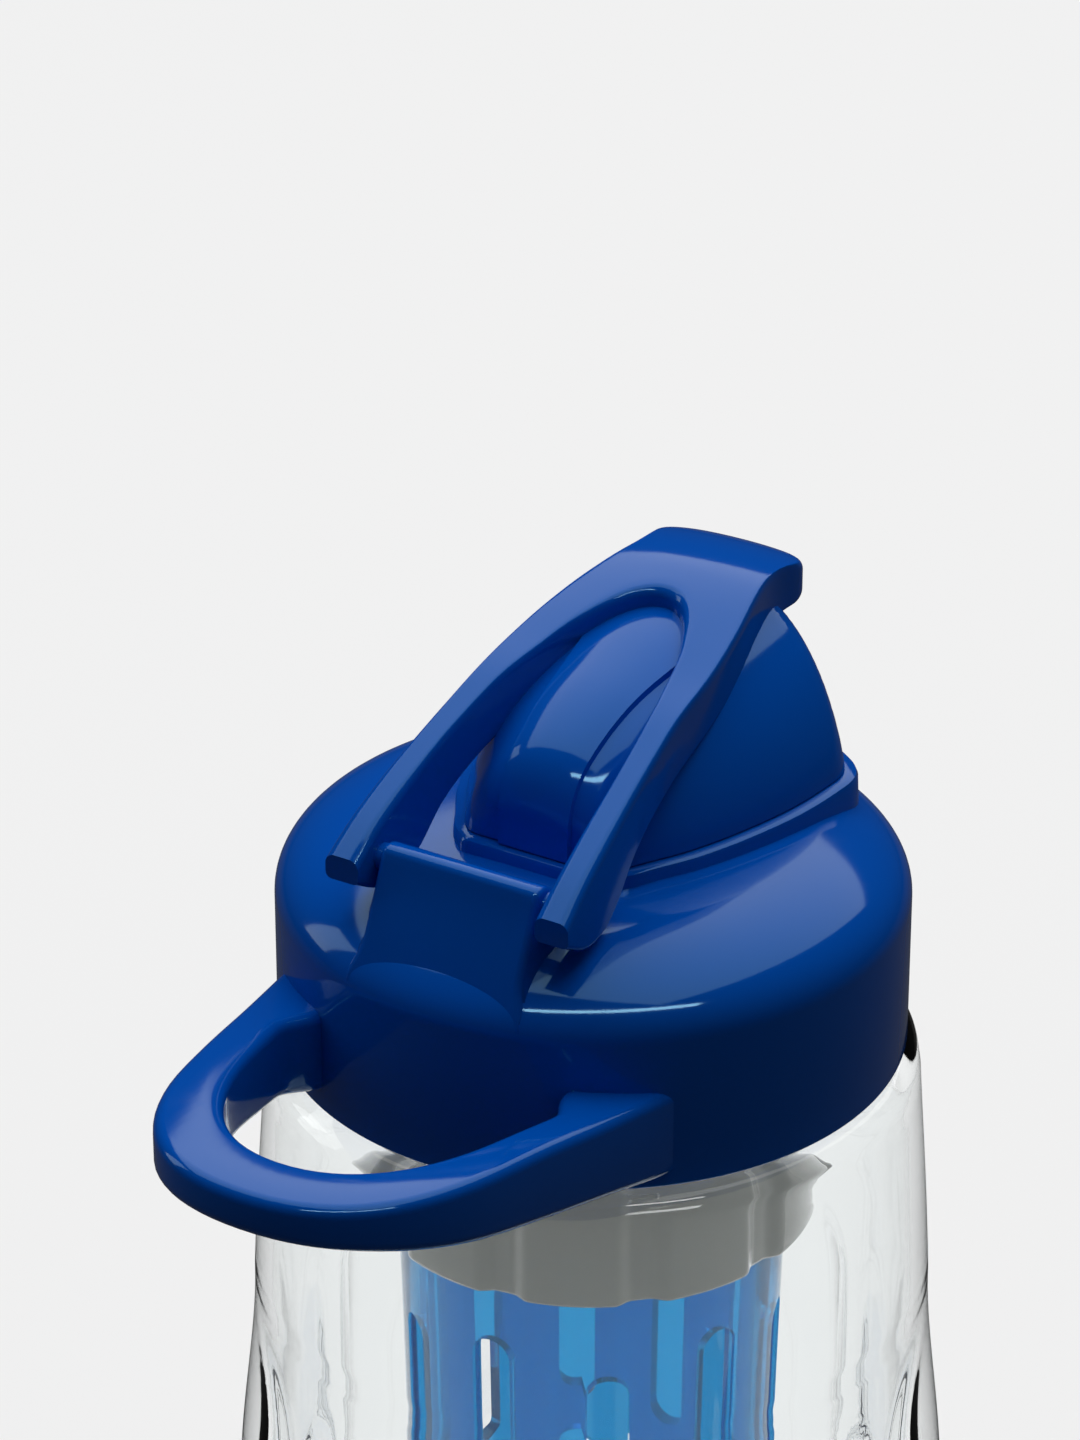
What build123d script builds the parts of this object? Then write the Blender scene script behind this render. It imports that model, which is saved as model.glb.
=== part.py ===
from build123d import *
import math
import os

# Clear drinks bottle with a flip-cover sports lid and a hanging fruit infuser.
# Millimetres. The bottle stands on Z = 0 on its own axis, +Z up; the lid's hinge
# and carry loop are on the -Y side. Lid pieces are drawn with Z = 0 at the lower
# rim of the skirt and are lifted by LID_Z once they are finished.

# ------------------------------------------------------------------ bottle body
SHOULDER_Z = 187.4        # height of the shoulder, where the neck starts
SHOULDER_GAP = 0.6        # air between the shoulder and the lid's skirt
SHOULDER_R = 36.0         # radius just under the shoulder's rounding
SHOULDER_DROP = 6.0       # height of the shoulder's rounding
SHOULDER_BULGE = 0.5      # the wall's curve passes this far outside the shoulder
SHOULDER_PULL = 10.0      # pulls of that curve where it leaves the core and reaches the shoulder
SHOULDER_REACH = 3.0
SHOULDER_EDGE = 1.0
SHOULDER_LAND = 3.5       # flat ledge round the neck
CORE_R = 37.2             # radius between the grip pads
CORE_TOP_DROP = 29.0      # from the shoulder down to the full core radius
GRIP_R = 39.5             # radius over the raised grip pads
GRIP_PADS = 6
GRIP_PAD_WIDTH = 32.0     # width of a pad, which is also the width of its arched end
GRIP_SINK = 0.4           # the ends of the swell run in this far under the core's surface
GRIP_TOP_Z = 158.0
GRIP_BOTTOM_Z = 24.0
GRIP_FLARE = 22.0         # height over which a pad swells from the core
BODY_WALL = 2.0
BASE_THICKNESS = 3.0
BASE_CORNER = 8.0
BASE_GROOVE_R = 20.0      # ring groove in the underside
BASE_GROOVE_WIDTH = 5.0
BASE_GROOVE_DEPTH = 1.0
NECK_R = 30.0
NECK_WALL = 2.4
NECK_HEIGHT = 16.6
NECK_BEAD = 0.7           # rounding of the neck's rim

# ------------------------------------------------------------------ lid
GASKET_THICKNESS = 1.6
GASKET_GAP = 0.4          # gasket clear of the skirt and of its seat's inner edge
THREAD_ROOM = 1.6         # radial room for the thread between neck and skirt
SKIRT_WALL = 2.4
SKIRT_HEIGHT = 17.2       # straight part of the skirt
CROWN_EDGE_R = 21.0       # where the lid's shoulder runs out into the crown
CROWN_EDGE_Z = 24.7
CROWN_Z = 25.3
LID_PULL_UP = 4.2         # pulls of the lid's shoulder over the skirt and into the crown
LID_PULL_OUT = 7.2
LID_PULL_DROP = 0.4
ROOF = 2.2                # thickness of the crown
RIM_ROOF = 3.5            # thickness over the gasket's seat, below the crown's edge
SEAT_LIP = 0.8            # the gasket's seat reaches this far inside the neck's bore
BOSS_R = 21.3             # threaded boss that carries the infuser
BOSS_WALL = 2.0
BOSS_END_Z = -11.8        # lower end of the boss, below the skirt
RIM_CHAMFER = 0.5

# seat for the cover: a low ridge with the cover's own outline
SEAT_Z = 26.6
SEAT_OUT = 0.5            # how far the ridge stands outside the cover's wall
SEAT_WIDTH = 2.6

# hinge
HINGE_Y = -24.9
HINGE_Z = 29.4
HINGE_PIN_R = 1.5
HINGE_RUNNING_GAP = 0.05  # radial clearance of a pin in its socket
HINGE_PIN_REACH = 3.0     # how deep a pin goes into the block
BLOCK_HALF_WIDTH = 9.5
BLOCK_CREST_Z = 31.8
BLOCK_CREST_SHIFT = 1.0   # crest in front of the hinge's axis
BLOCK_CREST_HALF = 0.9    # half of the crest's flat
BLOCK_FRONT = 7.4         # from the hinge's axis to the foot of the ramp
BLOCK_BACK = 5.6          # and to the back of the block
BLOCK_FOOT_Z = 16.0       # inside the lid's shoulder
BLOCK_RAMP_Z = 19.5       # lower end of the ramp
BLOCK_RAMP_PULL = 1.2     # pulls that hollow the ramp
BLOCK_CREST_PULL = (1.5, 3.4)
BLOCK_BACK_STEP = (3.0, 0.2)
BLOCK_BACK_DROP = 1.0
BLOCK_EDGE = 0.8

# carry loop; its roots end inside the skirt's outline
LOOP_ROOT_Y = -17.0
LOOP_TIP_Y = -68.0
LOOP_ROOT_HALF = 25.3     # half width over the loop at its roots
LOOP_SIDE_HALF = 19.6     # half width where the sides turn into the tip
LOOP_SIDE_Y = -48.5       # where they do
LOOP_TIP_FULLNESS = 13.0  # how far the sides' direction carries on into the tip
LOOP_HOLE_HALF = 15.2     # the same three for the hole
LOOP_HOLE_Y = -42.9
LOOP_HOLE_FULLNESS = 10.0
LOOP_TIP_SQUARENESS = 0.55
LOOP_TIP_BAR = 8.0        # width of the bar at the tip
LOOP_ROOT_BAR = 5.2       # width of the bar at the roots
LOOP_TOP_ROOT_Z = 11.9
LOOP_TOP_TIP_Z = 15.0
LOOP_FOOT_ROOT_Z = -0.9
LOOP_FOOT_TIP_Z = 11.0
LOOP_EDGE = 1.3

# ------------------------------------------------------------------ flip cover
COVER_GAP = 0.2           # cover rim above the seat
COVER_WALL = 1.8
COVER_FRONT_Y = -12.2
COVER_REAR_R = 29.3
COVER_TOP_REAR_R = 27.2
COVER_TOP_Z = 46.0        # level at which the rear wall has its upper radius
FLANK_FULLNESS = (0.86, 0.55, 0.62)  # how square the hood's sections are
# stations along the hood: Y, half width at the rim and height of the roof
HOOD_STATIONS = (
    (COVER_FRONT_Y, 8.2, 31.2),
    (-10.8, 9.8, 34.2),
    (-8.0, 11.5, 37.2),
    (-3.5, 14.2, 39.6),
    (3.0, 16.8, 41.8),
    (11.0, 19.0, 43.4),
    (20.0, 20.0, 44.4),
    (31.0, 20.2, 45.0),
)
# raised middle band: its half width along the hood
BAND_EDGE = ((4.1, -20.0), (4.4, -10.0), (5.0, 0.5), (6.4, 12.0), (6.4, 20.0))
BAND_RISE = 0.6           # it stands this proud of its flanks

# lever: outer edge and window in plan, then its back and its belly from the side
LEG_GAP = 1.1             # side clearance between a leg and the hinge block
LEG_WIDTH = 4.5
LEG_STRAIGHT = 5.4        # straight end of the window between the legs
LEVER_EDGE = ((13.9, -24.6), (13.2, -14.6), (11.9, -3.2), (10.5, 9.0), (8.3, 20.5))
LEVER_WINDOW = ((9.9, -12.9), (8.2, -1.5), (5.6, 9.0), (0.0, 14.6))
LEVER_BACK = ((-14.6, 37.9), (-3.2, 41.5), (8.0, 44.0), (20.0, 45.8))
LEVER_BELLY = ((5.0, 36.8), (-7.0, 33.6))
LEVER_LOW_Z = 20.0        # below everything that the lever's outline cuts
LEVER_TIP_Y = -29.4
LIP_Y = 30.4              # rounded front of the thumb lip
LIP_HALF = 8.6
LIP_ROUND = 0.9
LIP_PULL = 5.0
LIP_TOP_Z = 45.2
LIP_FOOT_Z = 41.6
LIP_UNDERCUT = (5.0, 1.2)
LIP_REACH = 1.0           # the side view runs on past the rounded front
KNUCKLE_TOP = (1.2, 3.4)  # legs in front of and over the hinge's axis
KNUCKLE_FOOT = (2.0, 3.8) # flat foot of the legs behind the axis, and how far under it
KNUCKLE_BACK = 4.6        # where that foot ends
KNUCKLE_PULL = (5.5, 1.6, 5.5)
KNUCKLE_CUT = 1.2         # flat cut of the legs' ends

# ------------------------------------------------------------------ mouthpiece, valve and seals
SPOUT_Y = 6.0
SPOUT_NECK_R = 6.0
SPOUT_HOLE_GAP = 0.2
SPOUT_BASE_R = 8.0
SPOUT_COLLAR = 0.8        # straight foot of the nozzle on the crown
SPOUT_TIP_R = 6.6
SPOUT_WAIST_R = 5.4
SPOUT_BORE_R = 3.4
SPOUT_LIP = 1.2           # width of the rolled lip round the bore
SPOUT_SWELL = 0.6
SPOUT_WAIST_PULL = (3.6, 3.0, 6.0)
SPOUT_LIP_PULL = (3.5, 0.8)
SPOUT_FLANGE = 1.4
SPOUT_FLANGE_GAP = 0.2    # flange in its sleeve
SLEEVE_BORE_R = 9.4
SLEEVE_WALL = 1.4
SLEEVE_DEPTH = 5.0
CLIP_HEIGHT = 2.4
CLIP_BORE_R = 4.5
SEAL_GAP = 0.3            # cover seal above the mouthpiece
SEAL_R = 6.0
SEAL_THICKNESS = 1.2
SEAL_PLUG_R = 2.8
SEAL_PLUG_DEPTH = 1.2
SEAL_STEM_R = 1.4
SEAL_STEM = 2.2
SEAL_POST_R = 4.0
SEAL_POST = 3.8           # from the hood's roof down to the stopper
VENT_Y = -7.2
VENT_HOLE_R = 1.5
VENT_STEM_GAP = 0.1
VENT_HEAD_R = 2.6
VENT_HEAD = 1.1
VENT_BULB_R = 2.0
VENT_BULB_SHARE = 0.6     # lower end of the bulb as a share of the stem
VENT_BULB = 3.0
VENT_BULB_GAP = 0.1
VENT_OVERLAP = 1.0        # stem inside the bulb

# ------------------------------------------------------------------ infuser
RING_LOBES = 10
RING_WALL = 2.1           # over the lobes
RING_LOBE_RISE = 0.9      # lobes over the valleys between them
RING_LOBE_WIDTH = 10.4
RING_TOP_Z = -2.8
RING_FOOT_Z = -20.5
RING_BORE_GAP = 1.0       # room for the thread between the ring and the boss
RING_LEDGE = 4.0          # thickness of the inner ledge that carries the basket
RING_LEDGE_WIDTH = 0.85
RING_LOBE_ROUND = 1.6
RING_TURN = 7.8           # angle of the first lobe
RING_CHAMFER = 0.7
RING_COLLAR = 3.5         # plain band above the lobes
BASKET_DRAFT = 2.2        # the basket's foot is this much smaller in radius than its top
BASKET_WALL = 1.6
BASKET_FOOT_Z = -148.0
BASKET_FLANGE = 2.0
BASKET_FLANGE_GAP = 0.2   # flange in the ring's bore
BASKET_GAP = 0.25         # basket in the ring's ledge
BASKET_CORNER = 4.0
INFUSER_GASKET_GAP = 0.1
SCREEN_THICKNESS = 1.2
SCREEN_HOLE_R = 1.7
SCREEN_RINGS = ((6.5, 6), (13.0, 12))  # radius and number of holes
SLOT_COLUMNS = 10
SLOT_WIDTH = 4.6
SLOT_LENGTH = 33.0
SLOT_ROWS = 3
SLOT_ROW_PITCH = 39.0
SLOT_FIRST_Z = -28.6      # top of the first slot
SLOT_STAGGER = 3.4        # every other column starts this much lower

# ------------------------------------------------------------------ worked out from the sizes above
LID_Z = SHOULDER_Z + SHOULDER_GAP
RIM_Z = SHOULDER_Z + NECK_HEIGHT
NECK_BORE_R = NECK_R - NECK_WALL
GASKET_SEAT_Z = RIM_Z + GASKET_THICKNESS - LID_Z
SKIRT_BORE_R = NECK_R + THREAD_ROOM
SKIRT_R = SKIRT_BORE_R + SKIRT_WALL
SEAT_INNER_R = NECK_BORE_R - SEAT_LIP
ROOF_Z = CROWN_Z - ROOF
COVER_Z = SEAT_Z + COVER_GAP
LEG_INNER = BLOCK_HALF_WIDTH + LEG_GAP
RING_BORE_R = BOSS_R + RING_BORE_GAP
RING_R = RING_BORE_R + RING_WALL
RING_VALLEY_R = RING_R - RING_LOBE_RISE
BASKET_R = RING_BORE_R - RING_LEDGE_WIDTH - BASKET_GAP
BASKET_FOOT_R = BASKET_R - BASKET_DRAFT
FLANGE_R = RING_BORE_R - BASKET_FLANGE_GAP
LEDGE_TOP_Z = RING_FOOT_Z + RING_LEDGE
FLANGE_TOP_Z = LEDGE_TOP_Z + BASKET_FLANGE
SCREEN_TOP_Z = FLANGE_TOP_Z + SCREEN_THICKNESS
CLEAR = 5.0               # how far a cut runs past a face
BIG = 200.0


def roof_over(y):
    """Height of the hood's roof at a place between two of its stations."""
    for (y_0, _, z_0), (y_1, _, z_1) in zip(HOOD_STATIONS, HOOD_STATIONS[1:]):
        if y_0 <= y <= y_1:
            return z_0 + (z_1 - z_0) * (y - y_0) / (y_1 - y_0)
    return HOOD_STATIONS[-1][2]


SEAL_TOP_Z = roof_over(SPOUT_Y) - SEAL_POST
SEAL_FOOT_Z = SEAL_TOP_Z - SEAL_THICKNESS
SPOUT_TOP_Z = SEAL_FOOT_Z - SEAL_GAP


def tube(outer_r, inner_r, low_z, high_z):
    """Return a plain ring about Z."""
    height = high_z - low_z
    body = Cylinder(outer_r, height) - Cylinder(inner_r, 3 * height)
    return Pos(0, 0, (low_z + high_z) / 2) * body


def disc(radius, low_z, high_z):
    """Return a plain disc about Z."""
    return Pos(0, 0, (low_z + high_z) / 2) * Cylinder(radius, high_z - low_z)


def turned(edges):
    """Spin a closed outline, given as radius and height, about Z."""
    return revolve(make_face(Plane.XZ * edges), Axis.Z)


def across(side_view, half_width):
    """Give a closed side view, drawn as Y and Z, an even width across X."""
    return Pos(-half_width, 0, 0) * extrude(Plane.YZ * side_view, 2 * half_width)


def mirrored_outline(right_edges):
    """Close a half outline, drawn on the +X side, with its mirror image."""
    left_edges = mirror(right_edges, about=Plane.YZ)
    return make_face(right_edges + left_edges)


# ------------------------------------------------------------------ bottle
def body_outline():
    """Outside of the bottle between the grip pads, from the axis round to the rim."""
    shoulder = Bezier(
        (CORE_R, SHOULDER_Z - CORE_TOP_DROP),
        (SHOULDER_R + SHOULDER_BULGE, SHOULDER_Z - SHOULDER_DROP - SHOULDER_PULL),
        (SHOULDER_R, SHOULDER_Z - SHOULDER_DROP - SHOULDER_REACH),
        (SHOULDER_R, SHOULDER_Z - SHOULDER_DROP),
        (SHOULDER_R, SHOULDER_Z - SHOULDER_EDGE),
        (NECK_R + SHOULDER_LAND, SHOULDER_Z),
    )
    foot = RadiusArc((CORE_R - BASE_CORNER, 0), (CORE_R, BASE_CORNER), -BASE_CORNER)
    bead_z = RIM_Z - NECK_BEAD
    bead = RadiusArc((NECK_R, bead_z), (NECK_R - NECK_BEAD, RIM_Z), -NECK_BEAD)
    groove_inner_r = BASE_GROOVE_R - BASE_GROOVE_WIDTH
    return (
        Polyline(
            (0, RIM_Z),
            (0, 0),
            (groove_inner_r, 0),
            (groove_inner_r, BASE_GROOVE_DEPTH),
            (BASE_GROOVE_R, BASE_GROOVE_DEPTH),
            (BASE_GROOVE_R, 0),
            (CORE_R - BASE_CORNER, 0),
        )
        + foot
        + Line((CORE_R, BASE_CORNER), shoulder @ 0)
        + shoulder
        + Polyline(shoulder @ 1, (NECK_R, SHOULDER_Z), (NECK_R, bead_z))
        + bead
        + Line((NECK_R - NECK_BEAD, RIM_Z), (0, RIM_Z))
    )


def body_hollow():
    """Space inside the bottle, open at the neck."""
    inside_r = CORE_R - BODY_WALL
    corner = BASE_CORNER - BODY_WALL
    shoulder_z = SHOULDER_Z - SHOULDER_DROP - BODY_WALL
    shoulder = Bezier(
        (inside_r, SHOULDER_Z - CORE_TOP_DROP),
        (SHOULDER_R - BODY_WALL, shoulder_z),
        (SHOULDER_R - BODY_WALL, SHOULDER_Z - BODY_WALL),
        (NECK_BORE_R, SHOULDER_Z - BODY_WALL),
    )
    foot = RadiusArc(
        (inside_r - corner, BASE_THICKNESS), (inside_r, BASE_THICKNESS + corner), -corner
    )
    return turned(
        Polyline((0, RIM_Z + CLEAR), (0, BASE_THICKNESS), (inside_r - corner, BASE_THICKNESS))
        + foot
        + Line((inside_r, BASE_THICKNESS + corner), shoulder @ 0)
        + shoulder
        + Polyline(shoulder @ 1, (NECK_BORE_R, RIM_Z + CLEAR), (0, RIM_Z + CLEAR))
    )


def grip_pads(inset):
    """Raised pads with arched ends, swelling out of the core; inset gives their hollows."""
    pad_r = GRIP_R - inset
    core_r = CORE_R - inset - GRIP_SINK
    under_r = core_r - BODY_WALL / 2
    half_flare = GRIP_FLARE / 2
    top = Bezier(
        (pad_r, GRIP_TOP_Z - GRIP_FLARE),
        (pad_r, GRIP_TOP_Z - half_flare),
        (core_r, GRIP_TOP_Z - half_flare),
        (core_r, GRIP_TOP_Z),
    )
    foot = Bezier(
        (core_r, GRIP_BOTTOM_Z),
        (core_r, GRIP_BOTTOM_Z + half_flare),
        (pad_r, GRIP_BOTTOM_Z + half_flare),
        (pad_r, GRIP_BOTTOM_Z + GRIP_FLARE),
    )
    swell = turned(
        foot
        + Line(foot @ 1, top @ 0)
        + top
        + Polyline(top @ 1, (under_r, GRIP_TOP_Z), (under_r, GRIP_BOTTOM_Z), foot @ 0)
    )
    height = GRIP_TOP_Z - GRIP_BOTTOM_Z
    outline = SlotOverall(height - 2 * inset, GRIP_PAD_WIDTH - 2 * inset, rotation=90)
    centre = (0, 2 * GRIP_R, (GRIP_TOP_Z + GRIP_BOTTOM_Z) / 2)
    bar = Pos(centre) * extrude(Plane.XZ * outline, 4 * GRIP_R)
    step = 360 / GRIP_PADS
    bars = [Rot(0, 0, step * index) * bar for index in range(GRIP_PADS // 2)]
    return swell & (bars[0] + bars[1:])


def bottle_body():
    """Clear one-piece bottle with a threaded-size neck, shoulder and grip pads."""
    outside = turned(body_outline()) + grip_pads(0)
    return outside - (body_hollow() + grip_pads(BODY_WALL))


# ------------------------------------------------------------------ lid
def lid_outside():
    """Skirt, rounded shoulder and crown as one solid of revolution."""
    shoulder = Bezier(
        (SKIRT_R, SKIRT_HEIGHT),
        (SKIRT_R, SKIRT_HEIGHT + LID_PULL_UP),
        (CROWN_EDGE_R + LID_PULL_OUT, CROWN_EDGE_Z - LID_PULL_DROP),
        (CROWN_EDGE_R, CROWN_EDGE_Z),
    )
    crown = Bezier(
        (CROWN_EDGE_R, CROWN_EDGE_Z), (CROWN_EDGE_R / 2, CROWN_Z), (0, CROWN_Z)
    )
    return turned(
        Polyline((0, CROWN_Z), (0, 0), (SKIRT_R - RIM_CHAMFER, 0), (SKIRT_R, RIM_CHAMFER))
        + Line((SKIRT_R, RIM_CHAMFER), (SKIRT_R, SKIRT_HEIGHT))
        + shoulder
        + crown
    )


def lid_hollow():
    """Space under the roof, with the step that the gasket seats in."""
    return turned(
        Polyline(
            (0, -BIG),
            (SKIRT_BORE_R, -BIG),
            (SKIRT_BORE_R, GASKET_SEAT_Z),
            (SEAT_INNER_R, GASKET_SEAT_Z),
            (SEAT_INNER_R, CROWN_EDGE_Z - RIM_ROOF),
            (CROWN_EDGE_R, CROWN_EDGE_Z - ROOF),
            (BOSS_R / 2, ROOF_Z),
            (0, ROOF_Z),
            (0, -BIG),
        )
    )


def hinge_block():
    """Ramped block on the lid's shoulder, with a socket in each side for the cover's pins."""
    crest_y = HINGE_Y - BLOCK_CREST_SHIFT
    front_y = HINGE_Y - BLOCK_FRONT
    back_y = HINGE_Y + BLOCK_BACK
    crest = (crest_y - BLOCK_CREST_HALF, BLOCK_CREST_Z)
    pull_y, pull_z = BLOCK_CREST_PULL
    step_y, step_z = BLOCK_BACK_STEP
    ramp = Bezier(
        (front_y, BLOCK_RAMP_Z),
        (front_y + BLOCK_RAMP_PULL, CROWN_EDGE_Z),
        (crest[0] - pull_y, BLOCK_CREST_Z - pull_z),
        crest,
    )
    profile = (
        Polyline((back_y, BLOCK_FOOT_Z), (front_y, BLOCK_FOOT_Z), (front_y, BLOCK_RAMP_Z))
        + ramp
        + Polyline(
            crest,
            (crest_y + BLOCK_CREST_HALF, BLOCK_CREST_Z),
            (HINGE_Y + step_y, HINGE_Z - step_z),
            (back_y, CROWN_EDGE_Z - BLOCK_BACK_DROP),
            (back_y, BLOCK_FOOT_Z),
        )
    )
    block = across(make_face(profile), BLOCK_HALF_WIDTH)
    crest = block.edges().filter_by(Axis.X).group_by(Axis.Z)[-1]
    block = fillet(crest, BLOCK_EDGE)
    socket_r = HINGE_PIN_R + HINGE_RUNNING_GAP
    socket_depth = HINGE_PIN_REACH + HINGE_RUNNING_GAP
    socket = Rot(0, 90, 0) * Cylinder(socket_r, 2 * socket_depth)
    for side in (-1, 1):
        block -= Pos(side * BLOCK_HALF_WIDTH, HINGE_Y, HINGE_Z) * socket
    return block


def loop_outline(root_half, side_half, side_y, tip_y, fullness):
    """Half of the loop in plan: a straight side that turns into a rounded tip."""
    lean = (root_half - side_half) / (LOOP_ROOT_Y - side_y)
    tip = Bezier(
        (side_half, side_y),
        (side_half - lean * fullness, side_y - fullness),
        (side_half * LOOP_TIP_SQUARENESS, tip_y),
        (0, tip_y),
    )
    root = Polyline((0, LOOP_ROOT_Y), (root_half, LOOP_ROOT_Y), (side_half, side_y))
    return mirrored_outline(root + tip)


def carry_loop():
    """Finger loop, deep at its roots and thin at its raised tip."""
    hole_root_half = LOOP_ROOT_HALF - LOOP_ROOT_BAR
    hole_tip_y = LOOP_TIP_Y + LOOP_TIP_BAR
    outer = loop_outline(
        LOOP_ROOT_HALF, LOOP_SIDE_HALF, LOOP_SIDE_Y, LOOP_TIP_Y, LOOP_TIP_FULLNESS
    )
    hole = loop_outline(
        hole_root_half, LOOP_HOLE_HALF, LOOP_HOLE_Y, hole_tip_y, LOOP_HOLE_FULLNESS
    )
    bar = Pos(0, 0, -BIG / 2) * extrude(outer - hole, BIG)
    side_view = Polyline(
        (LOOP_ROOT_Y - 1, LOOP_TOP_ROOT_Z),
        (LOOP_TIP_Y - 1, LOOP_TOP_TIP_Z),
        (LOOP_TIP_Y - 1, LOOP_FOOT_TIP_Z),
        (LOOP_ROOT_Y - 1, LOOP_FOOT_ROOT_Z),
        (LOOP_ROOT_Y - 1, LOOP_TOP_ROOT_Z),
    )
    bar &= across(make_face(side_view), 2 * LOOP_ROOT_HALF)
    outside_skirt = bar.edges().filter_by(lambda edge: edge.center().Y < LOOP_ROOT_Y - 2)
    return fillet(outside_skirt - outside_skirt.filter_by(Axis.Z), LOOP_EDGE)


def cover_outline(inset):
    """Outline of the cover's rim in plan."""
    rim = [(half_width - inset, y) for y, half_width, _ in HOOD_STATIONS[1:-1]]
    front_y = COVER_FRONT_Y + inset
    front = (HOOD_STATIONS[0][1] - 0.5 * inset, front_y)
    rear_r = COVER_REAR_R - inset
    rear_half = rim[-1][0]
    rear = (rear_half, math.sqrt(rear_r**2 - rear_half**2))
    half = Line((0, front_y), front) + Spline([front] + rim[:-1] + [rear])
    half += RadiusArc(rear, (0, rear_r), -rear_r)
    return mirrored_outline(half)


def lid_seat():
    """Low ridge on the crown that the cover's rim comes down on."""
    ridge = cover_outline(-SEAT_OUT) - cover_outline(SEAT_WIDTH - SEAT_OUT)
    return Pos(0, 0, GASKET_SEAT_Z) * extrude(ridge, SEAT_Z - GASKET_SEAT_Z)


def lid_shell():
    """Lid moulding: skirt, crown, cover seat, hinge block, carry loop and infuser boss."""
    shell = lid_outside() + lid_seat() + hinge_block() + carry_loop() - lid_hollow()
    shell += tube(BOSS_R, BOSS_R - BOSS_WALL, BOSS_END_Z, CROWN_EDGE_Z - ROOF / 2)
    sleeve_foot_z = ROOF_Z - SLEEVE_DEPTH
    spout_seat = disc(SLEEVE_BORE_R + SLEEVE_WALL, sleeve_foot_z, CROWN_Z)
    spout_seat -= disc(SLEEVE_BORE_R, sleeve_foot_z - 1, ROOF_Z)
    sleeve_space = disc(SLEEVE_BORE_R, sleeve_foot_z - 1, ROOF_Z)
    spout_hole = disc(SPOUT_NECK_R + SPOUT_HOLE_GAP, 0, BIG)
    shell = shell - Pos(0, SPOUT_Y, 0) * sleeve_space + Pos(0, SPOUT_Y, 0) * spout_seat
    vent_hole = disc(VENT_HOLE_R, 0, BIG)
    return shell - Pos(0, SPOUT_Y, 0) * spout_hole - Pos(0, VENT_Y, 0) * vent_hole


# ------------------------------------------------------------------ cover
def hood_section(station_y, half_width, roof_z, inset):
    """Closed cross-section of the hood: flat rim below, rounded flanks and roof above."""
    half_width -= inset
    roof_z -= inset
    height = roof_z - COVER_Z
    low_share, rise_share, high_share = FLANK_FULLNESS
    flank = Bezier(
        (half_width, COVER_Z),
        (low_share * half_width, COVER_Z + rise_share * height),
        (high_share * half_width, roof_z),
        (0, roof_z),
    )
    section = mirrored_outline(Line((0, COVER_Z), (half_width, COVER_Z)) + flank)
    return Plane.XZ.offset(-station_y) * section


def hood_form(inset):
    """Hood lofted from front to rear through its cross-sections and rounded at the rear."""
    front = (COVER_FRONT_Y + inset,) + HOOD_STATIONS[0][1:]
    sections = [hood_section(*station, inset) for station in (front,) + HOOD_STATIONS[1:]]
    rear = Cone(COVER_REAR_R - inset, COVER_TOP_REAR_R - inset, COVER_TOP_Z - COVER_Z)
    return loft(sections) & Pos(0, 0, (COVER_TOP_Z + COVER_Z) / 2) * rear


def cover_dome():
    """Outside of the hood: rounded flanks with a slightly raised middle band."""
    half = Polyline((0, BAND_EDGE[0][1]), *BAND_EDGE, (0, BAND_EDGE[-1][1]))
    band = Pos(0, 0, COVER_Z) * extrude(mirrored_outline(half), BIG)
    return hood_form(BAND_RISE) + (band & hood_form(0))


def lever_plan():
    """Lever in plan: two legs that join round the window and end in the thumb lip."""
    leg = (LEG_INNER + LEG_WIDTH, LEVER_TIP_Y)
    lip = (LIP_HALF, LIP_Y - LIP_ROUND)
    outer = Line((0, LEVER_TIP_Y), leg) + Spline(leg, *LEVER_EDGE, lip)
    outer += Bezier(lip, (LIP_PULL, LIP_Y), (0, LIP_Y))
    below_y = LEVER_TIP_Y - CLEAR
    straight = (LEG_INNER, LEVER_TIP_Y + LEG_STRAIGHT)
    window = Polyline((0, below_y), (LEG_INNER, below_y), straight)
    window += Spline(straight, *LEVER_WINDOW, tangents=[(0, 1), (-1, 0)])
    return mirrored_outline(outer) - mirrored_outline(window)


def lever_profile():
    """Lever from the side: knuckles round the hinge, a long rising back and a blunt lip."""
    shoulder = (HINGE_Y - KNUCKLE_TOP[0], HINGE_Z + KNUCKLE_TOP[1])
    lip_y = LIP_Y + LIP_REACH
    undercut_y, undercut_z = LIP_UNDERCUT
    back = Spline(shoulder, *LEVER_BACK, (lip_y, LIP_TOP_Z))
    under_y, under_z = LEVER_BELLY[-1]
    pull_y, pull_z, pull_back = KNUCKLE_PULL
    foot_z = HINGE_Z - KNUCKLE_FOOT[1]
    knuckle = Bezier(
        (under_y, under_z),
        (under_y - pull_y, under_z - pull_z),
        (HINGE_Y + KNUCKLE_BACK + pull_back, foot_z),
        (HINGE_Y + KNUCKLE_BACK, foot_z),
    )
    belly = Polyline(
        back @ 1,
        (lip_y, LIP_FOOT_Z),
        (LIP_Y - undercut_y, LIP_FOOT_Z - undercut_z),
        *LEVER_BELLY,
    )
    legs = Polyline(
        knuckle @ 1,
        (HINGE_Y + KNUCKLE_FOOT[0], foot_z),
        (LEVER_TIP_Y, HINGE_Z - KNUCKLE_CUT),
        shoulder,
    )
    return back + belly + knuckle + legs


def cover_lever():
    """Arched lever over the hood, with the legs and their inward hinge pins."""
    side = across(make_face(lever_profile()), COVER_REAR_R)
    lever = side & Pos(0, 0, LEVER_LOW_Z) * extrude(lever_plan(), BIG)
    pin_tip_x = BLOCK_HALF_WIDTH - HINGE_PIN_REACH
    length = LEG_INNER + 1 - pin_tip_x
    for way in (-1, 1):
        pin = Rot(0, 90, 0) * Cylinder(HINGE_PIN_R, length)
        lever += Pos(way * (pin_tip_x + length / 2), HINGE_Y, HINGE_Z) * pin
    return lever


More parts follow.
